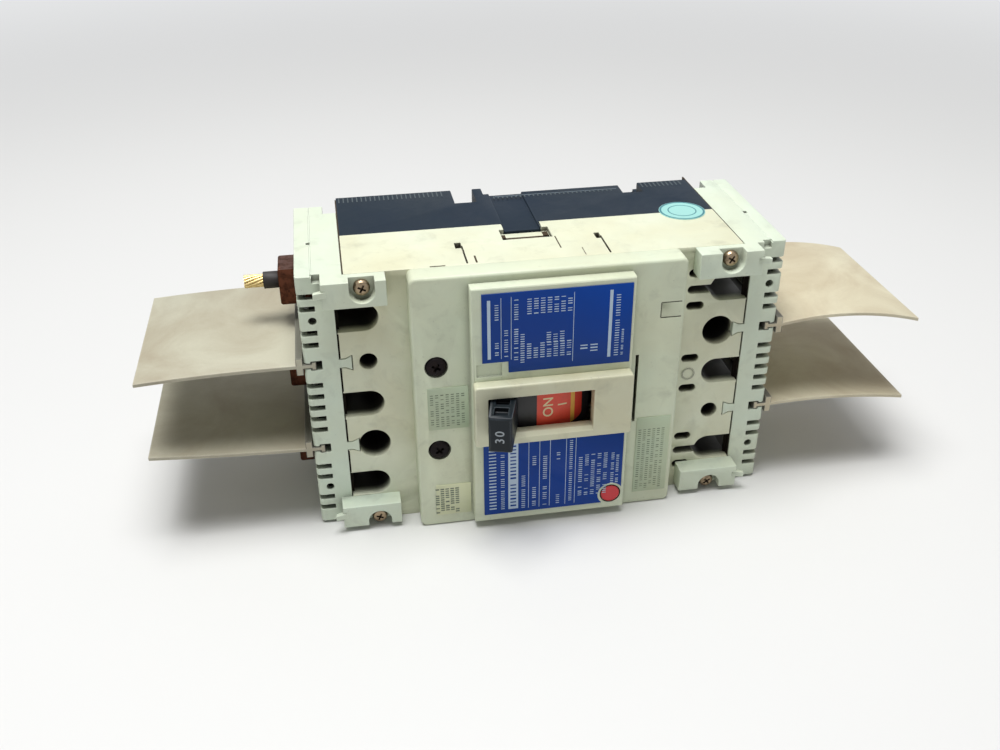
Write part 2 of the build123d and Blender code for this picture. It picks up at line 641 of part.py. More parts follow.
arm_outline = [(arm_tip_x, arm_back), (arm_tip_x, arm_back + 3.8), (link_pin[0] - 5.0, link_pin[1] + 3.6),
               (shaft_x, shaft_depth + arm_ring_r - 0.1), (shaft_x - 6.4, shaft_depth - 3.0),
               (link_pin[0], link_pin[1] - 3.5), (arm_tip_x + 14.0, arm_back)]
for number, pole in enumerate(pole_centres, 1):
    with BuildPart() as moving_contact:
        profile_z(arm_outline, around(pole, arm_half))
        rod_z(shaft_x, shaft_depth, around(pole, arm_half), arm_ring_r)
        rod_z(shaft_x, shaft_depth, around(pole, arm_half), shaft_r, Mode.SUBTRACT)
        if pole == 0:
            rod_z(*link_pin, around(pole, arm_half), small_pin_r + pin_gap, Mode.SUBTRACT)
    save(moving_contact, f"moving_contact_{number}")

with BuildPart() as moving_contact_tips:
    for pole in pole_centres:
        block(around(contact_tip_x, tip_length / 2), (arm_back - tip_thickness, arm_back),
              around(pole, arm_half))
save(moving_contact_tips, "moving_contact_tips")

with BuildPart() as flexible_links:
    for pole in pole_centres:
        block(link_span, (strap_back - 3.0, strap_back), around(pole, 3.0))
save(flexible_links, "flexible_links")

# ---------------------------------------------------------------- arc chutes
chute_plate_count = 7
chute_plate_pitch = 3.0
chute_first = 31.0
chute_plate = 1.0
chute_side = 1.2
chute_half = chamber_half - 0.2
chute_mouth = -34.0
chute_front = 52.0

for number, pole in enumerate(pole_centres, 1):
    with BuildPart() as arc_chute:
        for side in both:
            block(chute_span, (chamber_floor, chute_front), span(1, pole + side * (chute_half - chute_side),
                                                                 pole + side * chute_half))
        for row in range(chute_plate_count):
            depth = chute_first + row * chute_plate_pitch
            block((chute_span[0], chute_span[1] - 2.0), (depth, depth + chute_plate),
                  around(pole, chute_half - chute_side))
            block((chute_mouth, chute_span[1] - 2.0), (depth, depth + chute_plate),
                  around(pole, arm_half + 1.2), Mode.SUBTRACT)
    save(arc_chute, f"arc_chute_{number}")

# ---------------------------------------------------------------- operating mechanism, middle pole
frame_plate = (9.6, 10.8)
cradle_pin = (-18.0, 52.0)
link_pin_top = (5.0, 49.0)
cradle_half = 1.0
frame_tie = (21.0, 36.0)
latch_gap = 0.4
upper_link_z = (5.2, 6.2)
lower_link_z = (4.0, 4.9)
trip_flat = trip_bar_x - trip_bar_r / 2
latch_x = trip_flat - latch_gap

with BuildPart() as mechanism_frame:
    for side in both:
        z = span(side, *frame_plate)
        profile_z([(-22.0, chamber_floor), (24.0, chamber_floor), (24.0, 40.0), (8.0, 56.0), (-22.0, 56.0)], z)
        block(around(shaft_x, shaft_r + 0.5), (chamber_floor, shaft_depth), z, Mode.SUBTRACT)
        rod_z(shaft_x, shaft_depth, z, shaft_r + 0.5, Mode.SUBTRACT)
        for pin in (cradle_pin, (handle_x, handle_depth), frame_tie):
            rod_z(*pin, z, pivot_pin_r, Mode.SUBTRACT)
save(mechanism_frame, "mechanism_frame")

with BuildPart() as frame_pins:
    for pin in (cradle_pin, frame_tie):
        rod_z(*pin, (-frame_plate[1], frame_plate[1]), pivot_pin_r)
    for side in both:
        rod_z(handle_x, handle_depth, span(side, yoke_inner, frame_plate[1]), pivot_pin_r)
save(frame_pins, "frame_pins")

with BuildPart() as cradle:
    pin_x, pin_depth = cradle_pin
    top_x, top_depth = link_pin_top
    profile_z([(pin_x - 3.5, pin_depth - 2.4), (top_x - 9.0, top_depth), (top_x - 3.0, top_depth - 2.8),
               (top_x + 3.0, top_depth - 3.4), (latch_x, trip_bar_depth - 3.4), (latch_x, trip_bar_depth - 0.4),
               (top_x + 7.0, top_depth + 2.5), (top_x - 1.0, top_depth + 5.0), (pin_x + 10.0, pin_depth + 5.5),
               (pin_x + 4.0, pin_depth + 5.0), (pin_x - 3.5, pin_depth + 2.5)], (-cradle_half, cradle_half))
    rod_z(*cradle_pin, (-cradle_half, cradle_half), pivot_pin_r, Mode.SUBTRACT)
    rod_z(*link_pin_top, (-upper_link_z[1], upper_link_z[1]), pivot_pin_r)
save(cradle, "cradle")

# toggle: the knee joins the two pairs of links, with a slot in the lower pair
upper_link_length = 14.0
lower_link_length = 13.0
link_half = 2.6
knee_slot = 1.0
knee_gap = 0.3


def knee_point():
    """Where the knee stands with the contacts closed, as x and depth."""
    dx = link_pin[0] - link_pin_top[0]
    dy = link_pin_top[1] - link_pin[1]
    span_length = math.hypot(dx, dy)
    cosine = (upper_link_length**2 + span_length**2 - lower_link_length**2) / (2 * upper_link_length * span_length)
    angle = math.atan2(dy, dx) + math.acos(cosine)
    return (link_pin_top[0] + upper_link_length * math.cos(angle),
            link_pin_top[1] - upper_link_length * math.sin(angle))


knee = knee_point()


def link_outline(start, end, z):
    """A link plate with round ends."""
    dx = end[0] - start[0]
    dy = -(end[1] - start[1])
    length = math.hypot(dx, dy)
    with BuildSketch(Plane.XY.offset(z[0])) as outline:
        with Locations(((start[0] + end[0]) / 2, -(start[1] + end[1]) / 2)):
            SlotCenterToCenter(length, 2 * link_half, rotation=math.degrees(math.atan2(dy, dx)))
    extrude(outline.sketch, amount=z[1] - z[0])


with BuildPart() as upper_links:
    for side in both:
        z = span(side, *upper_link_z)
        link_outline(link_pin_top, knee, z)
        rod_z(*link_pin_top, z, pivot_pin_r + pin_gap, Mode.SUBTRACT)
    rod_z(*knee, (-upper_link_z[1], upper_link_z[1]), small_pin_r)
save(upper_links, "upper_links")

with BuildPart() as lower_links:
    for side in both:
        z = span(side, *lower_link_z)
        link_outline(link_pin, knee, z)
        with BuildSketch(Plane.XY.offset(z[0])) as knee_hole:
            dx = (link_pin[0] - knee[0]) / lower_link_length
            dy = -(link_pin[1] - knee[1]) / lower_link_length
            with Locations((knee[0], -knee[1])):
                SlotCenterToCenter(knee_slot, 2 * (small_pin_r + knee_gap),
                                   rotation=math.degrees(math.atan2(dy, dx)))
        extrude(knee_hole.sketch, amount=z[1] - z[0], mode=Mode.SUBTRACT)
    rod_z(*link_pin, (-lower_link_z[1], lower_link_z[1]), small_pin_r)
save(lower_links, "lower_links")

# ---------------------------------------------------------------- handle
lean = math.radians(handle_on_angle)
handle_plane = Plane(origin=(handle_x, -handle_depth, 0), x_dir=(math.sin(lean), -math.cos(lean), 0),
                     z_dir=(0, 0, 1))
skirt_inner = skirt_r - skirt_thickness
knob_pockets = ((skirt_r + 4.7, skirt_r + 8.1), (skirt_r + 9.9, skirt_r + 13.9))
yoke_bridge = 1.6
yoke_bridge_angle = 8.0
yoke_half = 3.5
hook_drop = 4.0                # pin for the main springs, in from the skirt's inside
hook_reach = skirt_inner - hook_drop
hook_r = 0.8
hook_span = 3.2


def ring_sector(plane, inner, outer, half_angle, width):
    """A stretch of a ring about the handle's pivot."""
    with BuildSketch(plane.offset(-width / 2)) as outline:
        with BuildLine():
            far = CenterArc((0, 0), outer, -half_angle, 2 * half_angle)
            near = CenterArc((0, 0), inner, -half_angle, 2 * half_angle)
            Line(far @ 0, near @ 0)
            Line(far @ 1, near @ 1)
        make_face()
    extrude(outline.sketch, amount=width)


with BuildPart() as handle_skirt:
    ring_sector(handle_plane, skirt_inner, skirt_r, skirt_half_angle, 2 * skirt_half_width)
save(handle_skirt, "handle_skirt")

with BuildPart() as handle_knob:
    with BuildSketch(handle_plane.offset(-knob_half_width)) as outline:
        with BuildLine():
            Polyline([(skirt_r - 0.2, knob_root_half), (knob_reach, knob_tip_half), (knob_reach, -knob_tip_half),
                      (skirt_r - 0.2, -knob_root_half)], close=True)
        make_face()
    extrude(outline.sketch, amount=2 * knob_half_width)
    with BuildSketch(handle_plane.offset(-knob_half_width)) as skirt_face:
        Circle(skirt_r)
    extrude(skirt_face.sketch, amount=2 * knob_half_width, mode=Mode.SUBTRACT)
    end_face = handle_knob.faces().sort_by(Axis.Y)[0]
    fillet(end_face.edges(), 0.7)
    for pocket in knob_pockets:
        with BuildSketch(handle_plane.offset(knob_half_width - 1.6)) as hollow:
            with Locations(((pocket[0] + pocket[1]) / 2, 0)):
                Rectangle(pocket[1] - pocket[0], 4.2)
        extrude(hollow.sketch, amount=1.6, mode=Mode.SUBTRACT)
save(handle_knob, "handle_knob")

with BuildPart() as handle_yoke:
    bridge_outer = skirt_inner - 0.1
    ring_sector(handle_plane, bridge_outer - yoke_bridge, bridge_outer, yoke_bridge_angle,
                2 * (yoke_inner + yoke_thickness))
    for side in both:
        z = span(side, yoke_inner, yoke_inner + yoke_thickness)
        with BuildSketch(handle_plane.offset(z[0])) as outline:
            with Locations(((bridge_outer - 1.0) / 2, 0)):
                Rectangle(bridge_outer - 1.0, 2 * yoke_half)
            Circle(yoke_half)
        extrude(outline.sketch, amount=yoke_thickness)
        rod_z(handle_x, handle_depth, z, pivot_pin_r + pin_gap, Mode.SUBTRACT)
    with BuildSketch(handle_plane.offset(-cradle_half)) as lug_outline:
        with Locations(((hook_reach + bridge_outer - yoke_bridge) / 2 - 0.4, 0)):
            Rectangle(bridge_outer - yoke_bridge - hook_reach + 1.6, 2.4)
    extrude(lug_outline.sketch, amount=2 * cradle_half)
    with BuildSketch(handle_plane.offset(-hook_span)) as hook_outline:
        with Locations((hook_reach, 0)):
            Circle(hook_r)
    extrude(hook_outline.sketch, amount=2 * hook_span)
save(handle_yoke, "handle_yoke")

# main springs: from the knee pin up to the hook pin under the yoke's bridge
spring_z = 2.5
spring_r = 1.2
spring_turns = 9
eye_half = 0.4
eye_wall = 0.9
knee_loop = 0.9                # the springs shorten by this in the middle of the travel
hook_loop = 0.2
hook_point = handle_plane.from_local_coords((hook_reach, 0, 0))
knee_vector = Vector(knee[0], -knee[1], 0)
spring_vector = hook_point - knee_vector
spring_axis = spring_vector.normalized()


def coil(plane, length, outer_r, turns):
    """A close-wound spring, as one solid of revolution with a scalloped side."""
    pitch = length / turns
    groove = min(0.3, outer_r / 4)
    with BuildSketch(plane) as outline:
        with BuildLine():
            points = [(0, 0)]
            for turn in range(turns):
                points += [(outer_r - groove, turn * pitch), (outer_r, (turn + 0.5) * pitch)]
            points += [(outer_r - groove, length), (0, length)]
            Polyline(points, close=True)
        make_face()
    revolve(outline.sketch, axis=Axis(plane.origin, plane.y_dir))


def eye(centre, z, pin_r, loop, mode=Mode.ADD):
    """The flat eye at a spring's end, or the hole in it, drawn out into a loop along the spring."""
    outer = pin_r + fit_gap + (eye_wall if mode == Mode.ADD else 0.0)
    half = eye_half if mode == Mode.ADD else spring_r
    middle = centre + spring_axis * loop / 2
    with BuildSketch(Plane.XY.offset(z - half)) as outline:
        with Locations((middle.X, middle.Y)):
            SlotCenterToCenter(abs(loop), 2 * outer, rotation=math.degrees(math.atan2(spring_axis.Y, spring_axis.X)))
    extrude(outline.sketch, amount=2 * half, mode=mode)


with BuildPart() as main_springs:
    for side in both:
        z = side * spring_z
        start = knee_vector + spring_axis * (knee_loop + small_pin_r + fit_gap + eye_wall / 2)
        length = spring_vector.length - knee_loop - hook_loop - small_pin_r - hook_r - 2 * fit_gap - eye_wall
        coil(Plane(origin=(start.X, start.Y, z), x_dir=(0, 0, 1), z_dir=Vector(0, 0, 1).cross(spring_axis)),
             length, spring_r, spring_turns)
        for mode in (Mode.ADD, Mode.SUBTRACT):
            eye(knee_vector, z, small_pin_r, knee_loop, mode)
            eye(hook_point, z, hook_r, -hook_loop, mode)
save(main_springs, "main_springs")

# ---------------------------------------------------------------- trip unit
armature_back = 30.0
armature_front = trip_bar_depth - 1.0
armature_half = 6.0
armature_x = around(trip_bar_x, 0.6)
bimetal_x = (trip_bar_x + 5.6, trip_bar_x + 6.8)
magnet_legs = (trip_bar_x + 4.0, trip_bar_x + 9.5)
lever_front = trip_bar_depth + 4.0
magnet_front = 42.0

with BuildPart() as trip_bar:
    rod_z(trip_bar_x, trip_bar_depth, (-shaft_reach, shaft_reach), trip_bar_r)
    # lever under the button
    profile_z([(trip_bar_x, trip_bar_depth - 2.5), (button_x - 2.0, lever_front - 2.6),
               (button_x - 2.0, lever_front), (trip_bar_x, lever_front - 1.2)], around(button_z, 2.0))
    # half-shaft that holds the cradle's tip
    block((trip_bar_x - trip_bar_r, trip_flat), around(trip_bar_depth, trip_bar_r), around(0, 2.6), Mode.SUBTRACT)
    for pole in pole_centres:
        block((trip_bar_x + 1.0, bimetal_x[0] - 0.8), around(trip_bar_depth, 1.4), around(pole, 2.0))
    for pole in pole_centres:
        block(armature_x, (armature_back, armature_front), around(pole, armature_half), Mode.SUBTRACT)
save(trip_bar, "trip_bar")

with BuildPart() as armatures:
    for pole in pole_centres:
        block(armature_x, (armature_back, armature_front), around(pole, armature_half))
save(armatures, "armatures")

for number, pole in enumerate(pole_centres, 1):
    with BuildPart() as bimetal:
        block(bimetal_x, (strap_front, trip_bar_depth + 2.0), around(pole, 4.0))
        block((bimetal_x[0], magnet_legs[1] - 1.6), (strap_front, strap_front + 1.2), around(pole, 4.0))
    save(bimetal, f"bimetal_{number}")

with BuildPart() as magnet_yokes:
    for pole in pole_centres:
        block(magnet_legs, (strap_front, magnet_front), around(pole, strap_half))
        block((magnet_legs[0], magnet_legs[1] - 1.5), (strap_front, magnet_front),
              around(pole, strap_half - 1.5), Mode.SUBTRACT)
save(magnet_yokes, "magnet_yokes")

button_front = plate_front + 0.2
button_cap = 3.2
button_travel = 1.5
spring_seat = shoulder + 2.0
stem_end = lever_front + fit_gap

with BuildPart() as trip_button:
    rod_depth(button_x, button_z, (button_front - button_cap, button_front), button_r)
    rod_depth(button_x, button_z, (stem_end, button_front - button_cap), button_stem_r)
    fillet(trip_button.faces().sort_by(Axis.Y)[0].edges(), 0.4)
save(trip_button, "trip_button")

spring_height = button_front - button_cap - button_travel - fit_gap - spring_seat

with BuildPart() as trip_button_spring:
    coil(Plane(origin=(button_x, -spring_seat, button_z), x_dir=(-1, 0, 0), z_dir=(0, 0, 1)),
         spring_height, button_r - 0.1, 4)
    rod_depth(button_x, button_z, (spring_seat, spring_seat + spring_height), button_stem_r + fit_gap,
              Mode.SUBTRACT)
save(trip_button_spring, "trip_button_spring")

# ---------------------------------------------------------------- lugs and the cut wire
bore_depth = strap_front + lug_thickness / 2
lug_screw_x = -(lug_block_start + 9.5)
lug_screw_r = 2.5
lug_screw_length = 4.1
bore_end = lug_block_start + 3.0
wire_depth = bore_depth - (lug_bore_r - wire_r - pin_gap)
lug_front = strap_front + lug_thickness

for number, pole in enumerate(pole_centres, 1):
    with BuildPart() as lug:
        block((-lug_block_start, -half_length + tongue_length), (strap_front, strap_front + tongue_thickness),
              around(pole, lug_half))
        block((-lug_reach, -lug_block_start), (strap_front, lug_front), around(pole, lug_half))
        fillet(lug.edges().filter_by(Axis.Y).group_by(Axis.X)[0], 0.8)
        rod_x((-lug_reach, -bore_end), bore_depth, pole, lug_bore_r, Mode.SUBTRACT)
        rod_depth(-mount_x, pole, (strap_front, strap_front + tongue_thickness), terminal_screw_r + 0.2,
                  Mode.SUBTRACT)
        rod_depth(lug_screw_x, pole, (bore_depth, lug_front), lug_screw_r, Mode.SUBTRACT)
    save(lug, f"line_lug_{number}")

with BuildPart() as lug_screws:
    for pole in pole_centres:
        # tightened on the wire, backed off in the empty lugs
        tip = wire_depth + wire_r + pin_gap if pole == pole_centres[0] else bore_depth + lug_bore_r
        rod_depth(lug_screw_x, pole, (tip, tip + lug_screw_length), lug_screw_r)
        block(around(lug_screw_x, 2.0), (tip + lug_screw_length - 1.4, tip + lug_screw_length),
              around(pole, 0.4), Mode.SUBTRACT)
save(lug_screws, "lug_screws")

with BuildPart() as wire_strands:
    rod_x((-lug_reach - sleeve_length - bare_wire, -bore_end - 0.2), wire_depth, pole_centres[0], wire_r)
save(wire_strands, "wire_strands")

with BuildPart() as wire_sleeve:
    rod_x((-lug_reach - sleeve_length, -lug_reach - 0.1), wire_depth, pole_centres[0], sleeve_r)
    rod_x((-lug_reach - sleeve_length, -lug_reach - 0.1), wire_depth, pole_centres[0], wire_r, Mode.SUBTRACT)
save(wire_sleeve, "wire_sleeve")

# ---------------------------------------------------------------- screws of the housing
def small_screw(x, z, seat, length, shank_r, head_r, head):
    """Pan-head screw with a cross recess."""
    rod_depth(x, z, (seat - length, seat), shank_r)
    rod_depth(x, z, (seat, seat + head), head_r)
    for wide, tall in ((0.3, head_r * 0.6), (head_r * 0.6, 0.3)):
        block(around(x, wide), (seat + head - 1.0, seat + head), around(z, tall), Mode.SUBTRACT)


with BuildPart() as end_cover_screws:
    for side in both:
        for edge in both:
            small_screw(side * end_screw_x, edge * end_screw_z, screw_floor, 11.0, 1.25, 2.45, 1.9)
save(end_cover_screws, "end_cover_screws")

with BuildPart() as centre_cover_screws:
    for edge in both:
        small_screw(boss_x, edge * wall_z, centre_front - 1.0, 16.0, boss_screw_r, centre_screw_head_r, 1.5)
save(centre_cover_screws, "centre_cover_screws")

with BuildPart() as cover_screws:
    for side in both:
        small_screw(side * mount_x, -side * wall_z, cover_screw_seat, 20.0, 1.4, 2.4, 2.2)
        small_screw(inner_screw_x, side * wall_z, cover_screw_seat, 20.0, 1.4, 2.4, 2.2)
save(cover_screws, "cover_screws")

# ---------------------------------------------------------------- labels, all bare
button_ring = 4.3

with BuildPart() as upper_label:
    left, right = plate_span[0] + 3.1, plate_span[1] - 1.0
    bottom, top = escutcheon_z[1] + 2.4, plate_half - 1.7
    step_x, step_z = small_window_x[1] + 2.0, small_window_z[1] + 0.6
    profile_depth([(left, top), (right, top), (right, bottom), (step_x, bottom), (step_x, step_z), (left, step_z)],
                  (plate_front, plate_front + label_thickness))
save(upper_label, "upper_label")

with BuildPart() as lower_label:
    block((plate_span[0] + 3.0, plate_span[1] - 1.1), (plate_front, plate_front + label_thickness),
          (-plate_half + 2.6, escutcheon_z[0] - 0.1))
    block((button_x, plate_span[1]), (plate_front, plate_front + label_thickness), (-plate_half, button_z),
          Mode.SUBTRACT)
    rod_depth(button_x, button_z, (plate_front, plate_front + label_thickness), button_ring, Mode.SUBTRACT)
save(lower_label, "lower_label")

with BuildPart() as side_labels:
    left, right = plate_span[0] - 0.7, plate_span[1] + 4.2
    for x, z in (((centre_span[0] + 3.9, left), (-7.2, 7.8)),
                 ((centre_span[0] + 5.3, left), (-half_width + 4.2, -half_width + 15.9)),
                 ((right, centre_span[1] - 1.6), (-half_width + 4.9, -10.4))):
        block(x, (centre_front, centre_front + label_thickness), z)
save(side_labels, "side_labels")

sticker_inset = 10.3
sticker_r = 7.5

with BuildPart() as round_sticker:
    rod_z(half_length - sticker_inset, base_depth, (half_width, half_width + 0.25), sticker_r)
save(round_sticker, "round_sticker")
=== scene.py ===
"""Dresses the moulded-case breaker's CAD nodes: finishes, rounded edges, printing, screws, wire and stage."""

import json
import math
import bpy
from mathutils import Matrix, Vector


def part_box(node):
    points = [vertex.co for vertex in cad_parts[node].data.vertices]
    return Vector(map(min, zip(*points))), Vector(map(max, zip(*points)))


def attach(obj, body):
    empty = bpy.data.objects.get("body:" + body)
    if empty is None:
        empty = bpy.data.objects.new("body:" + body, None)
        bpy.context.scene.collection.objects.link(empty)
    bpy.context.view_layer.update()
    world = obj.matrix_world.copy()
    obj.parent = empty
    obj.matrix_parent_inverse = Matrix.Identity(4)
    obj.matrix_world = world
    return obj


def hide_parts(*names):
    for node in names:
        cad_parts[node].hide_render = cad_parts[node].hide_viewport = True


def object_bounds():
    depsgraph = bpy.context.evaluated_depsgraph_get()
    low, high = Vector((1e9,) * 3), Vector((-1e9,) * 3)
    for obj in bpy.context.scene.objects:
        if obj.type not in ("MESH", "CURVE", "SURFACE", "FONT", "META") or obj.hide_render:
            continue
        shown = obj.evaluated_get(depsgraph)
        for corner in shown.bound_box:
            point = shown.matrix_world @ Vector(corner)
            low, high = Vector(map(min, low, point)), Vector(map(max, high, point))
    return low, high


bl_info = {
    "name": "Moulded-case breaker",
    "version": (1, 0, 0),
    "blender": (4, 5, 0),
    "location": "View3D > Sidebar > Breaker",
    "description": "Dresses a three-pole moulded-case circuit breaker with its end covers, barriers and lugs",
    "category": "Object",
}

from contextlib import contextmanager

import bmesh
import bpy
from mathutils import Matrix, Vector
from mathutils.kdtree import KDTree

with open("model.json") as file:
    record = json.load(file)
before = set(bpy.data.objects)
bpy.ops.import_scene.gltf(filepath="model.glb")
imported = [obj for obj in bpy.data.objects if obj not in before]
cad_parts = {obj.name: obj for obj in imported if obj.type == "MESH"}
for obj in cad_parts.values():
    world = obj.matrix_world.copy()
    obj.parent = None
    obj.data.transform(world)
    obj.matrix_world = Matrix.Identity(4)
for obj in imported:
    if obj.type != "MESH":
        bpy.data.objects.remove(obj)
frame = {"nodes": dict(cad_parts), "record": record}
CAD_BOX = [list(corner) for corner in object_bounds()]
NODES = frame["nodes"]
SLOT_OF = {entry["node"]: entry["material_slot"] for entry in frame["record"]["subparts"]}
BODY_OF = {node: body for body, nodes in frame["record"]["behaviour"]["bodies"].items() for node in nodes}
MM = 0.001

RIGHT = Vector((1.0, 0.0, 0.0))
FRONT = Vector((0.0, -1.0, 0.0))
UP = Vector((0.0, 0.0, 1.0))


def low(node):
    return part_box(node)[0]


def high(node):
    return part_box(node)[1]


def joint_point(name):
    """Where a joint's axis lies, in metres."""
    for joint in frame["record"]["behaviour"]["joints"]:
        if joint["name"] == name:
            return Vector(joint["pos_m"])
    raise KeyError(name)


POLE_PITCH = 30.0
PIVOT = joint_point("handle_throw")
LEAN = math.radians(-15.0)                      # the handle leans this far towards the line end when ON
KNOB_REACH = 57.4                               # pivot to the knob's end
SKIRT_R = 41.5 * MM
SHOULDER = -low("main_cover").y / MM - 0.3      # depth of the cover's face beside the terminals, in mm
COMB_EDGE = 64.0                                # inner edge of the comb plates
WELL_HALF, WELL_REACH = 41.6 * MM, 72.3 * MM    # the slots and holes all lie this near to the middle

TREES = {}                                      # node groups and geometry trees, by name
FINISHES = {}                                   # materials, by name


# ---------------------------------------------------------------- node helpers
def colour(code):
    """A colour written as six hexadecimal digits, as linear RGBA."""
    def linear(value):
        value /= 255.0
        return value / 12.92 if value <= 0.04045 else ((value + 0.055) / 1.055) ** 2.4
    return tuple(linear(int(code[place:place + 2], 16)) for place in (0, 2, 4)) + (1.0,)


class Signal:
    """A node's output. Adding, taking away and multiplying it makes Math nodes in its own tree."""

    def __init__(self, socket):
        self.socket = socket
        self.tree = socket.id_data

    def maths(self, operation, other=0.5):
        return signal(self.tree, "ShaderNodeMath", {0: self, 1: other}, operation=operation)

    def clamped(self):
        """The same, kept between 0 and 1."""
        self.socket.node.use_clamp = True
        return self

    def __add__(self, other):
        return self.maths("ADD", other)

    def __sub__(self, other):
        return self.maths("SUBTRACT", other)

    def __rsub__(self, other):
        return signal(self.tree, "ShaderNodeMath", {0: other, 1: self}, operation="SUBTRACT")

    def __mul__(self, other):
        return self.maths("MULTIPLY", other)

    def __abs__(self):
        return self.maths("ABSOLUTE")


def feed(target, value):
    """Give an input socket a constant, or link an output to it."""
    if isinstance(value, Signal):
        value = value.socket
    if isinstance(value, bpy.types.NodeSocket):
        target.id_data.links.new(value, target)
    else:
        target.default_value = value


def add_node(tree, kind, inputs=None, **settings):
    node = tree.nodes.new(kind)
    for name, value in settings.items():
        setattr(node, name, value)
    for name, value in (inputs or {}).items():
        feed(node.inputs[name], value)
    return node


def signal(tree, kind, inputs=None, output=0, **settings):
    """A new node's output, by name or number."""
    return Signal(add_node(tree, kind, inputs, **settings).outputs[output])


def run_group(tree, name, inputs=None):
    """A node group's outputs, by name."""
    node = add_node(tree, "ShaderNodeGroup", inputs, node_tree=TREES[name])
    return {socket.name: Signal(socket) for socket in node.outputs}


def blend(factor, first, second):
    return signal(factor.tree, "ShaderNodeMix", {0: factor, 6: first, 7: second}, 2, data_type="RGBA")


def scaled(tone, amount):
    return signal(tone.tree, "ShaderNodeVectorMath", {0: tone, "Scale": amount}, operation="SCALE")


def ramp(factor, stops, interpolation="LINEAR"):
    node = add_node(factor.tree, "ShaderNodeValToRGB", {"Fac": factor})
    node.color_ramp.interpolation = interpolation
    elements = node.color_ramp.elements
    while len(elements) < len(stops):
        elements.new(0.5)
    for element, (position, value) in zip(elements, stops):
        element.position = position
        element.color = value if isinstance(value, tuple) else (value, value, value, 1.0)
    return Signal(node.outputs["Color"])


def rise(factor, start, end):
    """From 0 at the start to 1 at the end."""
    return ramp(factor, [(start, 0.0), (end, 1.0)])


def noise(coords, scale, detail=3.0, rough=0.55, distort=0.0):
    return signal(coords.tree, "ShaderNodeTexNoise", {"Vector": coords, "Scale": scale, "Detail": detail,
                                                      "Roughness": rough, "Distortion": distort}, "Fac")


def object_coords(tree):
    return signal(tree, "ShaderNodeTexCoord", output="Object")


def stretched(coords, scale):
    return signal(coords.tree, "ShaderNodeMapping", {"Vector": coords, "Scale": scale})


def split(coords):
    node = add_node(coords.tree, "ShaderNodeSeparateXYZ", {"Vector": coords})
    return [Signal(socket) for socket in node.outputs]


def shadow(tree, reach):
    """How open a point is to its surroundings, from 0 in a corner to 1."""
    return signal(tree, "ShaderNodeAmbientOcclusion", {"Distance": reach}, "AO", samples=6, only_local=True)


def socket_kind(value):
    """The kind of socket that suits a starting value. A kind's own name stands for itself."""
    if isinstance(value, str):
        return value
    if isinstance(value, int):
        return "NodeSocketInt"
    if isinstance(value, float):
        return "NodeSocketFloat"
    return "NodeSocketColor" if len(value) == 4 else "NodeSocketVector"


def node_group(name, kind, inputs, outputs):
    """A new group's tree, its named inputs as signals, and its output sockets."""
    tree = bpy.data.node_groups.new(name, kind)
    for label, value in inputs.items():
        socket = tree.interface.new_socket(label, in_out="INPUT", socket_type=socket_kind(value))
        if not isinstance(value, str):
            socket.default_value = value
    for label, value in outputs.items():
        tree.interface.new_socket(label, in_out="OUTPUT", socket_type=value)
    TREES[name] = tree
    source = tree.nodes.new("NodeGroupInput")
    given = {label: Signal(source.outputs[label]) for label in inputs}
    return tree, given, tree.nodes.new("NodeGroupOutput").inputs


SURFACE = {"Colour": "NodeSocketColor", "Roughness": "NodeSocketFloat", "Height": "NodeSocketFloat"}


# ---------------------------------------------------------------- shader groups
def make_wear_group():
    """Masks for worn edges and for corners; on the mouldings the corner mask paints grime and painted shade,
    on the metals tarnish.
    """
    group, given, made = node_group("Wear and corners", "ShaderNodeTree",
                                    {"Edge Radius": 0.0006, "Corner Reach": 0.003},
                                    {"Edge": "NodeSocketFloat", "Corner": "NodeSocketFloat"})
    rounded = signal(group, "ShaderNodeBevel", {"Radius": given["Edge Radius"]}, samples=4)
    flat = signal(group, "ShaderNodeNewGeometry", output="Normal")
    agree = signal(group, "ShaderNodeVectorMath", {0: rounded, 1: flat}, "Value", operation="DOT_PRODUCT")
    corner = (1.0 - shadow(group, given["Corner Reach"])).clamped()
    edge = (1.0 - agree).clamped() * (1.0 - corner * 3.0).clamped()
    feed(made["Edge"], (edge * 6.0).clamped())
    feed(made["Corner"], corner.maths("POWER", 1.3).clamped())


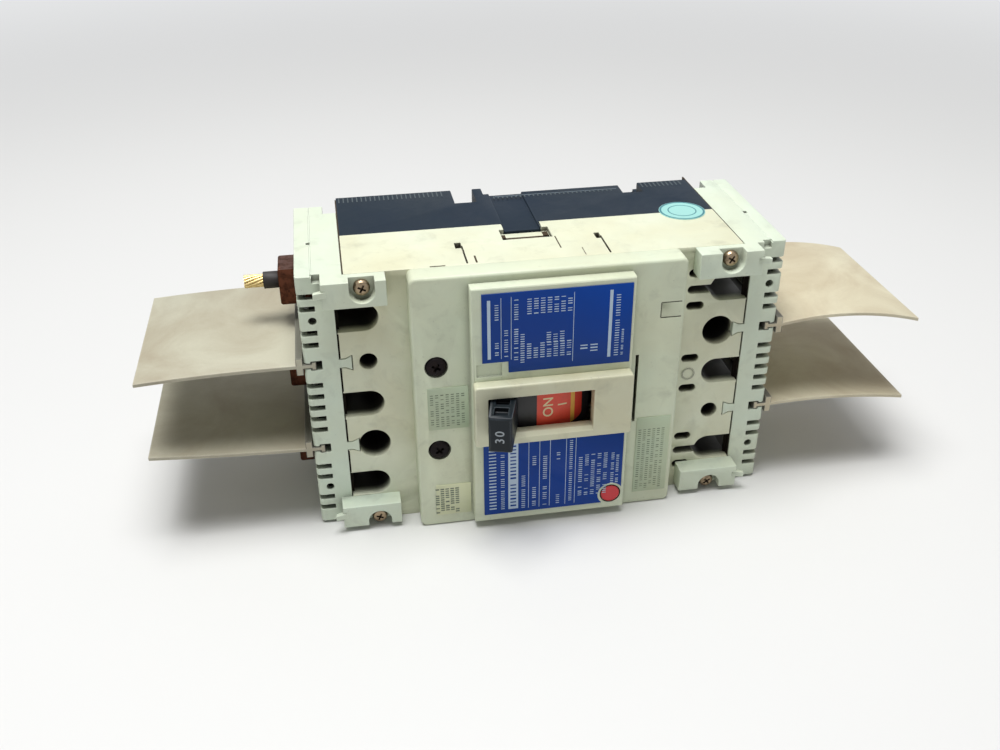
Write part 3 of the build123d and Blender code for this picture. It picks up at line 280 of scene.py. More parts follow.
def make_plastic_group():
    """Moulded plastic that has yellowed, with smudges, rubbed edges, grime and painted shade in the corners,
    painted shade deep in the hollows and painted shade inside the slots and holes.
    """
    group, given, made = node_group("Aged moulding", "ShaderNodeTree", {
        "Colour": (0.8, 0.8, 0.8, 1), "Aged Colour": (0.7, 0.6, 0.4, 1), "Grime Colour": (0.1, 0.08, 0.06, 1),
        "Edge Colour": (0.9, 0.9, 0.85, 1), "Ageing": 0.5, "Grime": 0.5, "Edge Wear": 0.3, "Roughness": 0.5,
        "Grain": 1.0, "Hollow Dirt": 0.6, "Well Top": 1.0, "Well Bottom": 1.1}, SURFACE)
    coords = object_coords(group)
    broad = noise(coords, 28.0, 4.0, 0.6, 0.4)
    patches = noise(coords, 95.0, 5.0, 0.65, 0.8)
    smudge = noise(coords, 120.0, 4.0, 0.62, 0.5)
    grain = noise(coords, 5200.0, 2.0, 0.5)
    specks = noise(coords, 900.0, 2.0, 0.6)
    mask = run_group(group, "Wear and corners")

    aged = (rise(broad, 0.32, 0.70) * given["Ageing"]).clamped()
    tone = scaled(blend(aged, given["Colour"], given["Aged Colour"]), patches * 0.16 + 0.92)
    # the corners darken with ambient occlusion, a painted shade mixed with grime; the smudges and specks are
    # real dirt
    grime_and_corner_shade = mask["Corner"] * 0.85 + rise(smudge, 0.54, 0.86) * 0.3 + rise(specks, 0.70, 0.76) * 0.22
    grime_and_corner_shade = (grime_and_corner_shade * given["Grime"]).clamped()
    tone = blend(grime_and_corner_shade, tone, given["Grime Colour"])
    # painted shade deep in the hollows, from ambient occlusion over 16 mm
    deep = ramp(shadow(group, 0.016), [(0.26, 1.0), (0.62, 0.0)])
    tone = blend((deep * given["Hollow Dirt"]).clamped(), tone, given["Grime Colour"])
    tone = blend((mask["Edge"] * given["Edge Wear"]).clamped(), tone, given["Edge Colour"])

    # inside the slots and holes a painted shade darkens with depth, as far as the rear third
    across, depth, height = split(coords)
    well_shade = signal(group, "ShaderNodeMapRange", {"Value": depth, "From Min": given["Well Top"],
                                                 "From Max": given["Well Bottom"]}, clamp=True)
    inside = abs(height).maths("LESS_THAN", WELL_HALF) * abs(across).maths("LESS_THAN", WELL_REACH)
    ahead = signal(group, "ShaderNodeMapRange", {"Value": depth, "From Min": -26 * MM, "From Max": -10 * MM,
                                                 "To Min": 0.96, "To Max": 0.0}, clamp=True)
    feed(made["Colour"], blend(well_shade * inside * ahead, tone, colour("0c0a08")))
    feed(made["Roughness"], (given["Roughness"] + (patches - 0.5) * 0.25 + grime_and_corner_shade * 0.15).clamped())
    feed(made["Height"], grain * given["Grain"] + smudge * 0.6)


def make_metal_group():
    """Plated or rolled metal with fine scratches, dull spots and tarnish in the corners."""
    group, given, made = node_group("Worn metal", "ShaderNodeTree", {
        "Colour": (0.6, 0.6, 0.6, 1), "Tarnish Colour": (0.3, 0.25, 0.2, 1), "Tarnish": 0.4, "Roughness": 0.35,
        "Scratches": 0.5}, SURFACE)
    coords = object_coords(group)
    lines = noise(stretched(coords, (1.0, 1.0, 14.0)), 900.0, 4.0, 0.7)
    spots = noise(coords, 420.0, 5.0, 0.65, 0.6)
    dull = (rise(spots, 0.45, 0.72) + run_group(group, "Wear and corners")["Corner"]).clamped()
    dull = (dull * given["Tarnish"]).clamped()
    tarnished = blend(dull, given["Colour"], given["Tarnish Colour"])
    feed(made["Colour"], scaled(tarnished, lines * 0.3 + 0.85))
    feed(made["Roughness"], (given["Roughness"] + dull * 0.3 + (lines - 0.5) * 0.2).clamped())
    feed(made["Height"], lines * given["Scratches"])


def make_fibre_group():
    """Pressed fibre sheet with a faint weave, cloudy stains and paler cut edges."""
    group, given, made = node_group("Pressed fibre", "ShaderNodeTree", {
        "Colour": (0.5, 0.4, 0.3, 1), "Stain Colour": (0.3, 0.22, 0.15, 1), "Edge Colour": (0.8, 0.72, 0.6, 1),
        "Stain": 0.5, "Roughness": 0.6}, SURFACE)
    coords = object_coords(group)
    weft, warp = (noise(stretched(coords, scale), 700.0, 3.0, 0.6) for scale in ((1, 6, 1), (6, 1, 1)))
    fibres = (weft + warp) * 0.5
    clouds = noise(coords, 34.0, 5.0, 0.6, 0.7)
    spots = noise(coords, 240.0, 4.0, 0.65)
    stain = (rise(clouds, 0.36, 0.72) * given["Stain"]).clamped()
    stain = (stain + rise(spots, 0.62, 0.78) * 0.16).clamped()
    tone = scaled(blend(stain, given["Colour"], given["Stain Colour"]), fibres * 0.22 + 0.89)
    edge = run_group(group, "Wear and corners", {"Edge Radius": 0.0007})["Edge"]
    feed(made["Colour"], blend(edge * 0.6, tone, given["Edge Colour"]))
    feed(made["Roughness"], given["Roughness"] + clouds * 0.15)
    feed(made["Height"], fibres)


# ---------------------------------------------------------------- finishes
def finish_from(group, name, values, bump, metallic=0.0, coat=0.0, shine=0.5):
    """A material whose colour, roughness and bump come from one of the shader groups."""
    material = bpy.data.materials.new(name)
    material.use_nodes = True
    tree = material.node_tree
    effect = run_group(tree, group, values)
    relief = signal(tree, "ShaderNodeBump", {"Height": effect["Height"], "Strength": 0.6, "Distance": bump},
                    "Normal")
    shader = tree.nodes["Principled BSDF"].inputs
    for label, value in {"Base Color": effect["Colour"], "Roughness": effect["Roughness"], "Normal": relief,
                         "Metallic": metallic, "Coat Weight": coat, "Specular IOR Level": shine}.items():
        feed(shader[label], value)
    FINISHES[name] = material
    return material


def plastic(name, main, aged, grime_and_shade="463a2c", edge="e1decd", ageing=0.7, grime_and_corner_shade=0.5, wear=0.25,
            rough=0.5, grain=1.0, bump=0.00002, coat=0.0, hollow_shade=0.6, shine=0.5, well=(1.0, 1.1)):
    return finish_from("Aged moulding", name, {"Colour": colour(main), "Aged Colour": colour(aged),
                                       "Grime Colour": colour(grime_and_shade), "Edge Colour": colour(edge),
                                       "Ageing": ageing, "Grime": grime_and_corner_shade, "Edge Wear": wear,
                                       "Roughness": rough, "Grain": grain, "Hollow Dirt": hollow_shade,
                                       "Well Top": well[0], "Well Bottom": well[1]},
                       bump, coat=coat, shine=shine)


def metal(name, main, tarnish, amount=0.4, rough=0.35, scratches=0.6):
    return finish_from("Worn metal", name, {"Colour": colour(main), "Tarnish Colour": colour(tarnish),
                                     "Tarnish": amount, "Roughness": rough, "Scratches": scratches},
                       0.00001, metallic=1.0)


def fibre(name, main, stain, edge, amount, rough):
    return finish_from("Pressed fibre", name, {"Colour": colour(main), "Stain Colour": colour(stain),
                                     "Edge Colour": colour(edge), "Stain": amount, "Roughness": rough},
                       0.00004)


def make_finishes():
    grime_and_shade = "2c241b"
    plastic("base_slate", "0d1d2c", "1a252c", "0e0e10", "4e5862", 0.6, 0.5, 0.3, 0.55, shine=0.16)
    plastic("base_ribs", "4a5458", "3e464a", "0e0e10", "60686c", 0.6, 0.5, 0.0, 0.6, shine=0.3)
    plastic("base_edge", "788690", "606c74", "282c32", "8c969e", 0.6, 0.5, 0.0, 0.6)
    # dark joints of the moulding, and painted shadow in the side recess and in the gaps at the end covers
    plastic("seam_dark", "423626", "30261a", "120e0a", "463c30", 0.5, 0.4, 0.0, 0.7, shine=0.2)
    # painted shadow in the gaps at the comb plates and round the trip button
    plastic("seam_black", "1e1913", "16120d", "0a0806", "221e18", 0.5, 0.4, 0.0, 0.8, shine=0.1)
    # well: the depths at which the painted shade inside the slots and holes starts and becomes full
    plastic("cover_cream", "d4d9c2", "cac6a5", grime_and_shade, "ecead8", 0.7, 0.85, 0.3, 0.48, hollow_shade=1.0,
            well=((1.2 - SHOULDER) * MM, (4.4 - SHOULDER) * MM))
    plastic("centre_cream", "ced7bf", "c8c7a8", grime_and_shade, "e6e8d6", 0.6, 0.8, 0.3, 0.48)
    plastic("escutcheon_cream", "cecfb5", "c5be9a", grime_and_shade, "f0eeda", 0.65, 1.0, 0.55, 0.4)
    plastic("end_cover_pale", "ccd9c7", "cbcdb2", grime_and_shade, "eaf0e4", 0.55, 0.8, 0.35, 0.46,
            well=((2.3 - SHOULDER) * MM, (4.6 - SHOULDER) * MM))
    plastic("knob_slate", "0f171d", "1a2126", "0a0a0b", "586066", 0.4, 0.4, 0.55, 0.42, hollow_shade=1.0,
            shine=0.25)
    plastic("crossbar_black", "1e1e21", "2a2826", "0e0c0b", "464646", 0.5, 0.4, 0.2, 0.5)
    plastic("button_red", "ce222c", "c42c32", "461010", "e46060", 0.5, 0.5, 0.3, 0.35, coat=0.1)
    plastic("printed_cream", "e2d6aa", "dac896", "785a3c", "e8e2ce", 0.5, 0.3, 0.1, 0.5)
    plastic("printed_white", "b8cada", "9cb4cc", "465a7e", "c4ced8", 0.6, 0.3, 0.1, 0.45)
    plastic("printed_dark", "626e5e", "707460", "464438", "808276", 0.5, 0.3, 0.1, 0.5)
    plastic("printed_black", "2c302c", "3a3830", "1e1c18", "54544e", 0.5, 0.3, 0.1, 0.5)
    plastic("printed_grey", "9ea6ac", "8c949c", "464a4e", "b4b6b6", 0.4, 0.3, 0.1, 0.5)
    plastic("label_blue", "00388c", "04367a", "08142e", "2c4e92", 0.5, 0.35, 0.3, 0.45, 0.4,
            shine=0.2)
    plastic("label_faded", "b0c0a8", "aeb28e", "646048", "c4ccb8", 0.7, 0.4, 0.2, 0.5, 0.5)
    plastic("label_pale", "d0d6b8", "c8c89c", "706242", "e2e0c4", 0.7, 0.4, 0.2, 0.48, 0.5)
    plastic("sticker_pale", "92ccc6", "90bcb4", "4c605c", "bed8d2", 0.5, 0.4, 0.2, 0.35, 0.4)
    plastic("sticker_teal", "146c78", "1e686e", "18383a", "50969c", 0.5, 0.3, 0.2, 0.35, 0.4)
    plastic("rubber_black", "1e1a19", "2e241e", "100d0c", "3e3832", 0.5, 0.5, 0.2, 0.6)
    metal("zinc_steel", "9c8a72", "3a2c22", 0.85, 0.3)
    metal("black_steel", "211e1f", "2e2622", 0.5, 0.42)
    metal("frame_steel", "969694", "605648", 0.4, 0.4)
    metal("spring_steel", "84868a", "50483e", 0.4, 0.35)
    metal("copper", "ba704c", "603826", 0.6, 0.38)
    metal("lug_copper", "623c2d", "221814", 0.85, 0.48)
    metal("silver_contact", "ceccc6", "787062", 0.4, 0.32)
    metal("strand_copper", "e2cc92", "a07e4a", 0.45, 0.38)
    metal("bimetal_strip", "aca084", "685842", 0.4, 0.4)
    fibre("barrier_fibre", "ccc5ab", "ac9c80", "eae4d0", 0.8, 0.5)
    # the line-end barriers: a greyer fibre, darkened further as painted shade
    fibre("barrier_worn", "b2af9b", "948872", "d6d0be", 0.8, 0.5)
    # the barriers' beads: a grey fibre, darkened as painted shade
    fibre("barrier_bead", "68675c", "464238", "a09e92", 0.7, 0.55)
    fibre("chute_fibre", "80684e", "54402e", "a08668", 0.6, 0.7)
    make_skirt_finish()


def make_skirt_finish():
    """The skirt's colour bands, by angle about the handle's pivot at rest."""
    material = plastic("skirt_bands", "1a1a1c", "242220", "0c0b0a", "3c3c3c", 0.4, 0.3, 0.1, 0.4)
    surface = material.node_tree.nodes["Principled BSDF"].inputs["Base Color"]
    plain = surface.links[0].from_socket
    coords = object_coords(material.node_tree)
    across, depth, height = split(coords)
    angle = (across - PIVOT.x).maths("ARCTAN2", PIVOT.y - depth)
    place = (angle * (180.0 / math.pi / 60.0) + 0.5).clamped()
    # the band's outer end is rounded off towards its lower corner
    drop = (-4.6 * MM - height).maths("MAXIMUM", 0.0).maths("POWER", 2.0)

    def at(degrees):
        return degrees / 60.0 + 0.5

    bands = ramp(place, [(0.0, (0, 0, 0, 1)), (at(-1.5), colour("de4a34")), (at(13.7), colour("e2ac46")),
                         (at(15.6), colour("d63e2c"))], "CONSTANT")
    inside = ramp(place, [(0.0, 0.0), (at(-1.5), 1.0)], "CONSTANT")
    outside = ramp(place + drop * 9000.0, [(0.0, 1.0), (at(19.0), 0.0)], "CONSTANT")
    mottled = rise(noise(coords, 500.0, 4.0, 0.6), 0.45, 0.75)
    feed(surface, blend(inside * outside, plain, blend(mottled * 0.25, bands, colour("963c2c"))))


# ---------------------------------------------------------------- mesh helpers
@contextmanager
def editing(mesh):
    """A mesh's shape to work on, written back at the end."""
    shape = bmesh.new()
    shape.from_mesh(mesh)
    yield shape
    shape.to_mesh(mesh)
    shape.free()


def link(name, data):
    obj = bpy.data.objects.new(name, data)
    bpy.context.collection.objects.link(obj)
    return obj


def one_finish(mesh, material):
    mesh.materials.clear()
    mesh.materials.append(material)
    mesh.polygons.foreach_set("material_index", [0] * len(mesh.polygons))


def add_object(name, mesh, finish):
    one_finish(mesh, FINISHES[finish])
    return link(name, mesh)


def settle(obj, body, slot, *replaced):
    """A finished piece: the body it rides on, its slot, which is not used, and the CAD nodes it stands in for.
    """
    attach(obj, body)
    if replaced:
        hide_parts(*replaced)
    return obj


def paint(finish, *nodes):
    """CAD nodes that keep their own mesh and take a detailed finish."""
    for node in nodes:
        materials = NODES[node].data.materials
        materials.clear()
        materials.append(FINISHES[finish])


def place_mesh(mesh, matrix):
    mesh.transform(matrix)
    mesh.update()


def axes_matrix(origin, across, upward, outward):
    return Matrix.Translation(origin) @ Matrix((across, upward, outward)).transposed().to_4x4()


def bake_modifiers(obj):
    """Keep what the modifiers make as a plain mesh, and take them off."""
    bpy.context.view_layer.update()
    evaluated = obj.evaluated_get(bpy.context.evaluated_depsgraph_get())
    mesh = bpy.data.meshes.new_from_object(evaluated)
    obj.modifiers.clear()
    old = obj.data
    obj.data = mesh
    mesh.name = obj.name
    if old.users == 0:
        bpy.data.meshes.remove(old)


def modify(obj, name, kind, **settings):
    """Put one modifier on, and keep what it makes."""
    modifier = obj.modifiers.new(name, kind)
    for label, value in settings.items():
        setattr(modifier, label, value)
    bake_modifiers(obj)


def weigh_edges(mesh, width, freedom):
    """Each sharp edge is rounded only as far as the short edges at its ends leave room for."""
    with editing(mesh) as shape:
        weight = (shape.edges.layers.float.get("bevel_weight_edge")
                  or shape.edges.layers.float.new("bevel_weight_edge"))
        sharp = {edge for edge in shape.edges
                 if len(edge.link_faces) == 2 and edge.calc_face_angle() > math.radians(30)}
        for edge in sharp:
            room = width
            for vert in edge.verts:
                way = (edge.other_vert(vert).co - vert.co).normalized()
                for other in vert.link_edges:
                    turn = (other.other_vert(vert).co - vert.co).normalized()
                    if other in sharp and abs(way.dot(turn)) < 0.9:
                        room = min(room, 0.4 * other.calc_length())
                room *= freedom[vert.index]
            edge[weight] = room / width


def folded_corners(mesh):
    """Corners of the faces that a rounding has folded over themselves."""
    mesh.calc_loop_triangles()
    folded = {}
    for triangle in mesh.loop_triangles:
        first, second, third = (mesh.vertices[index].co for index in triangle.vertices)
        across = (second - first).cross(third - first)
        if across.dot(mesh.polygons[triangle.polygon_index].normal) < 0:
            folded[triangle.polygon_index] = folded.get(triangle.polygon_index, 0.0) + across.length / 2
    faces = [index for index, area in folded.items() if area > 1e-7]
    return [mesh.vertices[vert].co.copy() for index in faces for vert in mesh.polygons[index].vertices]


def round_edges(obj, width, segments):
    """Round the sharp edges, less where the full width would fold a face over itself."""
    plain = obj.data
    for face in plain.polygons:
        face.use_smooth = True
    nearest = KDTree(len(plain.vertices))
    for vert in plain.vertices:
        nearest.insert(vert.co, vert.index)
    nearest.balance()
    freedom = [1.0] * len(plain.vertices)
    for attempt in range(5):
        obj.data = plain.copy()
        weigh_edges(obj.data, width, freedom)
        modify(obj, "Rounded edges", "BEVEL", width=width, segments=segments, limit_method="WEIGHT",
               use_clamp_overlap=False, harden_normals=True)
        corners = folded_corners(obj.data)
        if not corners:
            break
        for index in {nearest.find(corner)[1] for corner in corners}:
            freedom[index] *= 0.55
    bpy.data.meshes.remove(plain)


def dress(node, finish, width, segments=2, level=False):
    """A CAD node's shape with its edges rounded, width in millimetres, and a finish of its own."""
    mesh = bpy.data.meshes.new(node + "_dressed")
    with editing(mesh) as shape:
        shape.from_mesh(NODES[node].data)
        bmesh.ops.remove_doubles(shape, verts=shape.verts, dist=2e-6)
        bmesh.ops.dissolve_limit(shape, angle_limit=math.radians(0.6), verts=shape.verts, edges=shape.edges)
    obj = add_object(node + "_dressed", mesh, finish)
    if width > 0:
        round_edges(obj, width * MM, segments)
    if level:
        # the broad faces set the direction of their corners, so that long facets stay even
        modify(obj, "Level faces", "WEIGHTED_NORMAL", mode="FACE_AREA", weight=80)
    return settle(obj, BODY_OF[node], SLOT_OF[node], node)


def add_finish(obj, finish, wanted):
    """A second finish for the faces whose centre is wanted."""
    obj.data.materials.append(FINISHES[finish])
    for face in obj.data.polygons:
        if wanted(face.center):
            face.material_index = 1


def join(name, objects):
    """Several pieces of one finish made into one object."""
    mesh = objects[0].data.copy()
    finish = mesh.materials[0]
    with editing(mesh) as shape:
        for obj in objects[1:]:
            shape.from_mesh(obj.data)
    for obj in objects:
        bpy.data.objects.remove(obj)
    mesh.name = name
    one_finish(mesh, finish)
    return link(name, mesh)


def lathe(name, profile, steps=40):
    """A turned shape about Z from (radius, height) points in millimetres, closed at both ends."""
    mesh = bpy.data.meshes.new(name)
    with editing(mesh) as shape:
        rings = []
        for radius, height in profile:
            turns = [2 * math.pi * step / steps for step in range(steps if radius > 1e-6 else 1)]
            corners = [(radius * math.cos(turn), radius * math.sin(turn), height) for turn in turns]
            rings.append([shape.verts.new(Vector(corner) * MM) for corner in corners])
        for lower, upper in zip(rings, rings[1:]):
            for step in range(steps):
                following = (step + 1) % steps
                if len(lower) == 1:
                    shape.faces.new((lower[0], upper[step], upper[following]))
                elif len(upper) == 1:
                    shape.faces.new((lower[step], upper[0], lower[following]))
                else:
                    shape.faces.new((lower[step], upper[step], upper[following], lower[following]))
        bmesh.ops.recalc_face_normals(shape, faces=shape.faces)
    return mesh


def flat_ring(name, inner, outer, thick, finish):
    """A thin ring or disc about Z, in millimetres."""
    profile = [(inner, 0.0), (outer, 0.0), (outer, thick - 0.04), (outer - 0.04, thick), (inner, thick)]
    mesh = lathe(name, profile + ([(inner, 0.0)] if inner else []), 72)
    if inner:
        with editing(mesh) as shape:
            bmesh.ops.remove_doubles(shape, verts=shape.verts, dist=1e-6)
            bmesh.ops.recalc_face_normals(shape, faces=shape.faces)
    return add_object(name, mesh, finish)


def cut_cross(obj, length, width, depth, top):
    """A driver's cross recess in a screw head that points along +Z, all in millimetres."""
    mesh = bpy.data.meshes.new("cross_cutter")
    with editing(mesh) as shape:
        for turn in (0.0, 90.0):
            made = bmesh.ops.create_cube(shape, size=1.0)["verts"]
            for vert in made:
                narrow, level = (1.0, top + 0.5) if vert.co.z > 0 else (0.45, top - depth)
                vert.co = Vector((vert.co.x * length * narrow, vert.co.y * width, level)) * MM
            bmesh.ops.rotate(shape, verts=made, matrix=Matrix.Rotation(math.radians(turn), 3, "Z"))
    cutter = link("cross_cutter", mesh)
    modify(obj, "Cross", "BOOLEAN", operation="DIFFERENCE", solver="EXACT", use_self=True, object=cutter)
    bpy.data.objects.remove(cutter)
    bpy.data.meshes.remove(mesh)


def screw_head(name, head_r, head, shank_r, length, finish, cross=1.25):
    """A pan-head screw along +Z, its seat at the origin, as a pattern to copy."""
    crown = head * 0.55
    profile = [(0, -length), (shank_r * 0.9, -length), (shank_r, -length + 0.3), (shank_r, 0), (head_r, 0),
               (head_r, crown * 0.75), (head_r * 0.96, crown), (head_r * 0.84, head * 0.82),
               (head_r * 0.62, head * 0.95), (head_r * 0.35, head), (0, head)]
    obj = add_object(name, lathe(name, profile), finish)
    cut_cross(obj, head_r * cross, head_r * 0.24, head * 0.75, head)
    for face in obj.data.polygons:
        face.use_smooth = True
    obj.data.set_sharp_from_angle(angle=math.radians(32))
    return obj


def letters(name, text, size, finish, thickness=0.06, spacing=1.0, weight=0.0):
    """Plain characters as a thin mesh in the XY plane, centred on the origin, in millimetres."""
    curve = bpy.data.curves.new(name, "FONT")
    curve.body = text
    curve.size = size * MM
    curve.space_character = spacing
    curve.offset = weight * MM
    curve.align_x = "CENTER"
    curve.align_y = "CENTER"
    curve.extrude = thickness * MM / 2
    curve.resolution_u = 6
    holder = link(name, curve)
    bpy.context.view_layer.update()
    mesh = bpy.data.meshes.new_from_object(holder.evaluated_get(bpy.context.evaluated_depsgraph_get()))
    bpy.data.objects.remove(holder)
    bpy.data.curves.remove(curve)
    return add_object(name, mesh, finish)


# ---------------------------------------------------------------- geometry node trees
def geometry_tree(name, inputs):
    return node_group(name, "GeometryNodeTree",
                      {"Geometry": "NodeSocketGeometry", **inputs, "Finish": "NodeSocketMaterial"},
                      {"Geometry": "NodeSocketGeometry"})


def close_tree(given, made, geometry):
    """Every tree ends in real geometry with the finish on it."""
    tree = geometry.tree
    real = signal(tree, "GeometryNodeRealizeInstances", {"Geometry": geometry})
    feed(made[0], signal(tree, "GeometryNodeSetMaterial", {"Geometry": real, "Material": given["Finish"]}))


def spiral(tree, turns, radius, height, steps):
    return signal(tree, "GeometryNodeCurveSpiral", {
        "Rotations": turns, "Start Radius": radius, "End Radius": radius, "Height": height,
        "Resolution": steps})


def swept(line, radius):
    """A round wire along a curve."""
    wire = signal(line.tree, "GeometryNodeCurvePrimitiveCircle", {"Radius": radius, "Resolution": 8})
    return signal(line.tree, "GeometryNodeCurveToMesh",
                  {"Curve": line, "Profile Curve": wire, "Fill Caps": True})


def make_copy_tree():
    """Copies of a pattern at given points, each turned at random about the front axis."""
    tree, given, made = geometry_tree("Copies at points", {
        "Pattern": "NodeSocketObject", "Most Turn": 1.5, "Seed": 1})
    pattern = signal(tree, "GeometryNodeObjectInfo", {"Object": given["Pattern"]}, "Geometry")
    most = signal(tree, "ShaderNodeCombineXYZ", {"Y": given["Most Turn"]})
    turn = signal(tree, "FunctionNodeRandomValue", {0: (0, 0, 0), 1: most, "Seed": given["Seed"]},
                  data_type="FLOAT_VECTOR")
    close_tree(given, made, signal(tree, "GeometryNodeInstanceOnPoints", {
        "Points": given["Geometry"], "Instance": pattern, "Rotation": turn}))


def make_row_tree():
    """Rows of bars: ribs, rules, and lines of dashes. Each row may be broken into dashes along Z."""
    tree, given, made = geometry_tree("Rows of bars", {
        "Count": 10, "Start": (0, 0, 0), "Step": (0.001, 0, 0), "Size": (0.0005, 0.001, 0.01), "Dashes": 1,
        "Dash Step": 0.002, "Shortest": 1.0, "Share Kept": 1.0, "Seed": 1})
    line = signal(tree, "GeometryNodeMeshLine", {"Count": given["Count"], "Start Location": given["Start"],
                                                 "Offset": given["Step"]}, mode="OFFSET")
    along = signal(tree, "ShaderNodeCombineXYZ", {"Z": given["Dash Step"]})
    dashes = signal(tree, "GeometryNodeMeshLine", {"Count": given["Dashes"], "Offset": along}, mode="OFFSET")
    spread = signal(tree, "GeometryNodeInstanceOnPoints", {"Points": line, "Instance": dashes})
    points = signal(tree, "GeometryNodeRealizeInstances", {"Geometry": spread})
    seed = given["Seed"]
    kept = signal(tree, "FunctionNodeRandomValue", {"Probability": given["Share Kept"], "Seed": seed}, 3,
                  data_type="BOOLEAN")
    length = signal(tree, "FunctionNodeRandomValue", {2: given["Shortest"], 3: 1.0, "Seed": seed}, 1,
                    data_type="FLOAT")
    scale = signal(tree, "ShaderNodeCombineXYZ", {"X": 1.0, "Y": 1.0, "Z": length})
    bar = signal(tree, "GeometryNodeMeshCube", {"Size": given["Size"]})
    close_tree(given, made, signal(tree, "GeometryNodeInstanceOnPoints", {
        "Points": points, "Instance": bar, "Selection": kept, "Scale": scale}))


def make_coil_tree():
    """A wound spring about Z that starts at the origin."""
    tree, given, made = geometry_tree("Wound spring", {"Turns": 6.0, "Radius": 0.002, "Height": 0.01,
                                                       "Wire Radius": 0.0003})
    coil = spiral(tree, given["Turns"], given["Radius"], given["Height"], 20)
    close_tree(given, made, swept(coil, given["Wire Radius"]))


def make_strand_tree():
    """A ring of strands twisted about Z from the origin."""
    tree, given, made = geometry_tree("Twisted strands", {
        "Count": 12, "Lay Radius": 0.0016, "Strand Radius": 0.0004, "Length": 0.01, "Twist": 0.4})
    strand = spiral(tree, given["Twist"], given["Lay Radius"], given["Length"], 40)
    points = signal(tree, "GeometryNodePoints", {"Count": given["Count"]})
    share = signal(tree, "GeometryNodeInputIndex").maths("DIVIDE", given["Count"])
    turn = signal(tree, "ShaderNodeCombineXYZ", {"Z": share * (2 * math.pi)})
    ring = signal(tree, "GeometryNodeInstanceOnPoints",
                  {"Points": points, "Instance": strand, "Rotation": turn})
    real = signal(tree, "GeometryNodeRealizeInstances", {"Geometry": ring})
    close_tree(given, made, swept(real, given["Strand Radius"]))


def grow(name, tree_name, values, finish, start=None):
    """Run a geometry tree once and keep what it makes as a plain mesh."""
    obj = link(name, start or bpy.data.meshes.new(name))
    tree = TREES[tree_name]
    modifier = obj.modifiers.new(tree_name, "NODES")
    modifier.node_group = tree
    sockets = {item.name: item.identifier for item in tree.interface.items_tree if item.in_out == "INPUT"}
    for label, value in dict(values, Finish=FINISHES[finish]).items():
        modifier[sockets[label]] = value
    bake_modifiers(obj)
    one_finish(obj.data, FINISHES[finish])
    return obj


def copies(name, pattern, places, finish, seed):
    """The pattern, which points along +Z, set at each place so that it points to the front."""
    place_mesh(pattern.data, Matrix.Rotation(math.radians(90), 4, "X"))
    points = bpy.data.meshes.new(name + "_points")
    points.from_pydata([tuple(place) for place in places], [], [])
    obj = grow(name, "Copies at points", {"Pattern": pattern, "Most Turn": 1.5, "Seed": seed}, finish, points)
    bpy.data.objects.remove(pattern)
    obj.data.set_sharp_from_angle(angle=math.radians(32))
    return obj


def bars(name, finish, count, start, step, size, dashes=1, dash_step=1.0, shortest=1.0, kept=1.0, seed=1):
    """Bars in millimetres. With dashes, start is the first dash of the first row."""
    start, step, size = (tuple(value * MM for value in triple) for triple in (start, step, size))
    return grow(name, "Rows of bars", {"Count": count, "Start": start, "Step": step, "Size": size,
                                       "Dashes": dashes, "Dash Step": dash_step * MM, "Shortest": shortest,
                                       "Share Kept": kept, "Seed": seed}, finish)


def bar(name, finish, middle, size):
    """One bar, its middle and size in millimetres."""
    return bars(name, finish, 1, middle, (1, 0, 0), size)


# ---------------------------------------------------------------- settings
class CaseSettings(bpy.types.PropertyGroup):
    housing_round: bpy.props.FloatProperty(name="Housing Edge", description="Rounding of the housing, in mm",
                                           default=0.3, min=0.0, max=1.0)
    fine_round: bpy.props.FloatProperty(name="Fine Edge", description="Edge rounding of thin mouldings, in mm",
                                        default=0.25, min=0.0, max=0.6)
    metal_round: bpy.props.FloatProperty(name="Metal Edge", description="Edge rounding of metal pieces, in mm",
                                         default=0.2, min=0.0, max=0.6)
    rib_pitch: bpy.props.FloatProperty(name="Rib Pitch", description="Spacing of the base's fine ribs, in mm",
                                       default=1.5, min=0.8, max=4.0)


class FittingSettings(bpy.types.PropertyGroup):
    strand_count: bpy.props.IntProperty(name="Strands", description="Outer strands of the cut wire",
                                        default=12, min=6, max=19)
    spring_wire: bpy.props.FloatProperty(name="Spring Wire", description="Wire radius of the springs, in mm",
                                         default=0.22, min=0.1, max=0.4)
    mark_size: bpy.props.FloatProperty(name="Mark Size", description="Height of the handle's number, in mm",
                                       default=3.9, min=2.0, max=8.0)


class StageSettings(bpy.types.PropertyGroup):
    floor_colour: bpy.props.FloatVectorProperty(name="Floor", description="Floor colour near the object",
                                                default=(0.72, 0.72, 0.71), subtype="COLOR", size=3,
                                                min=0.0, max=1.0)
    key_power: bpy.props.FloatProperty(name="Key Light", description="Power of the large lamp above",
                                       subtype="POWER", default=14.2, min=0.0, max=50.0)
    fill_power: bpy.props.FloatProperty(name="Fill Light", description="Power of the side lamps",
                                        subtype="POWER", default=0.5, min=0.0, max=50.0)
    sky_strength: bpy.props.FloatProperty(name="Sky", description="Strength of the even light all round",
                                          default=0.22, min=0.0, max=2.0)


def case():
    return bpy.context.scene.breaker_case


def fittings():
    return bpy.context.scene.breaker_fittings


# ---------------------------------------------------------------- operators
class BREAKER_OT_base(bpy.types.Operator):
    """Slate base with fine ribs along its rear edges"""
    bl_idname = "breaker.base"
    bl_label = "Base"

    def execute(self, context):
        dress("base", "base_slate", case().housing_round)
        top = high("base").z / MM
        pitch = case().rib_pitch
        rows = [bars("rib_row", "base_ribs", int((last - first) / pitch), (first, -depth, top + 0.01),
                     (pitch, 0, 0), (0.4, reach, 0.12))
                for first, last, depth, reach in (
                    (-59.5, -22.5, 3.0, 4.4), (44.0, 59.5, 7.2, 4.4), (-8.0, 34.5, 9.6, 2.0))]
        settle(join("base_ribs", rows), "housing", "base_slate")
        settle(bar("base_rear_edge", "base_edge", (13.5, -8.9, top + 0.02), (42.0, 0.26, 0.08)), "housing",
               "base_slate")
        return {"FINISHED"}


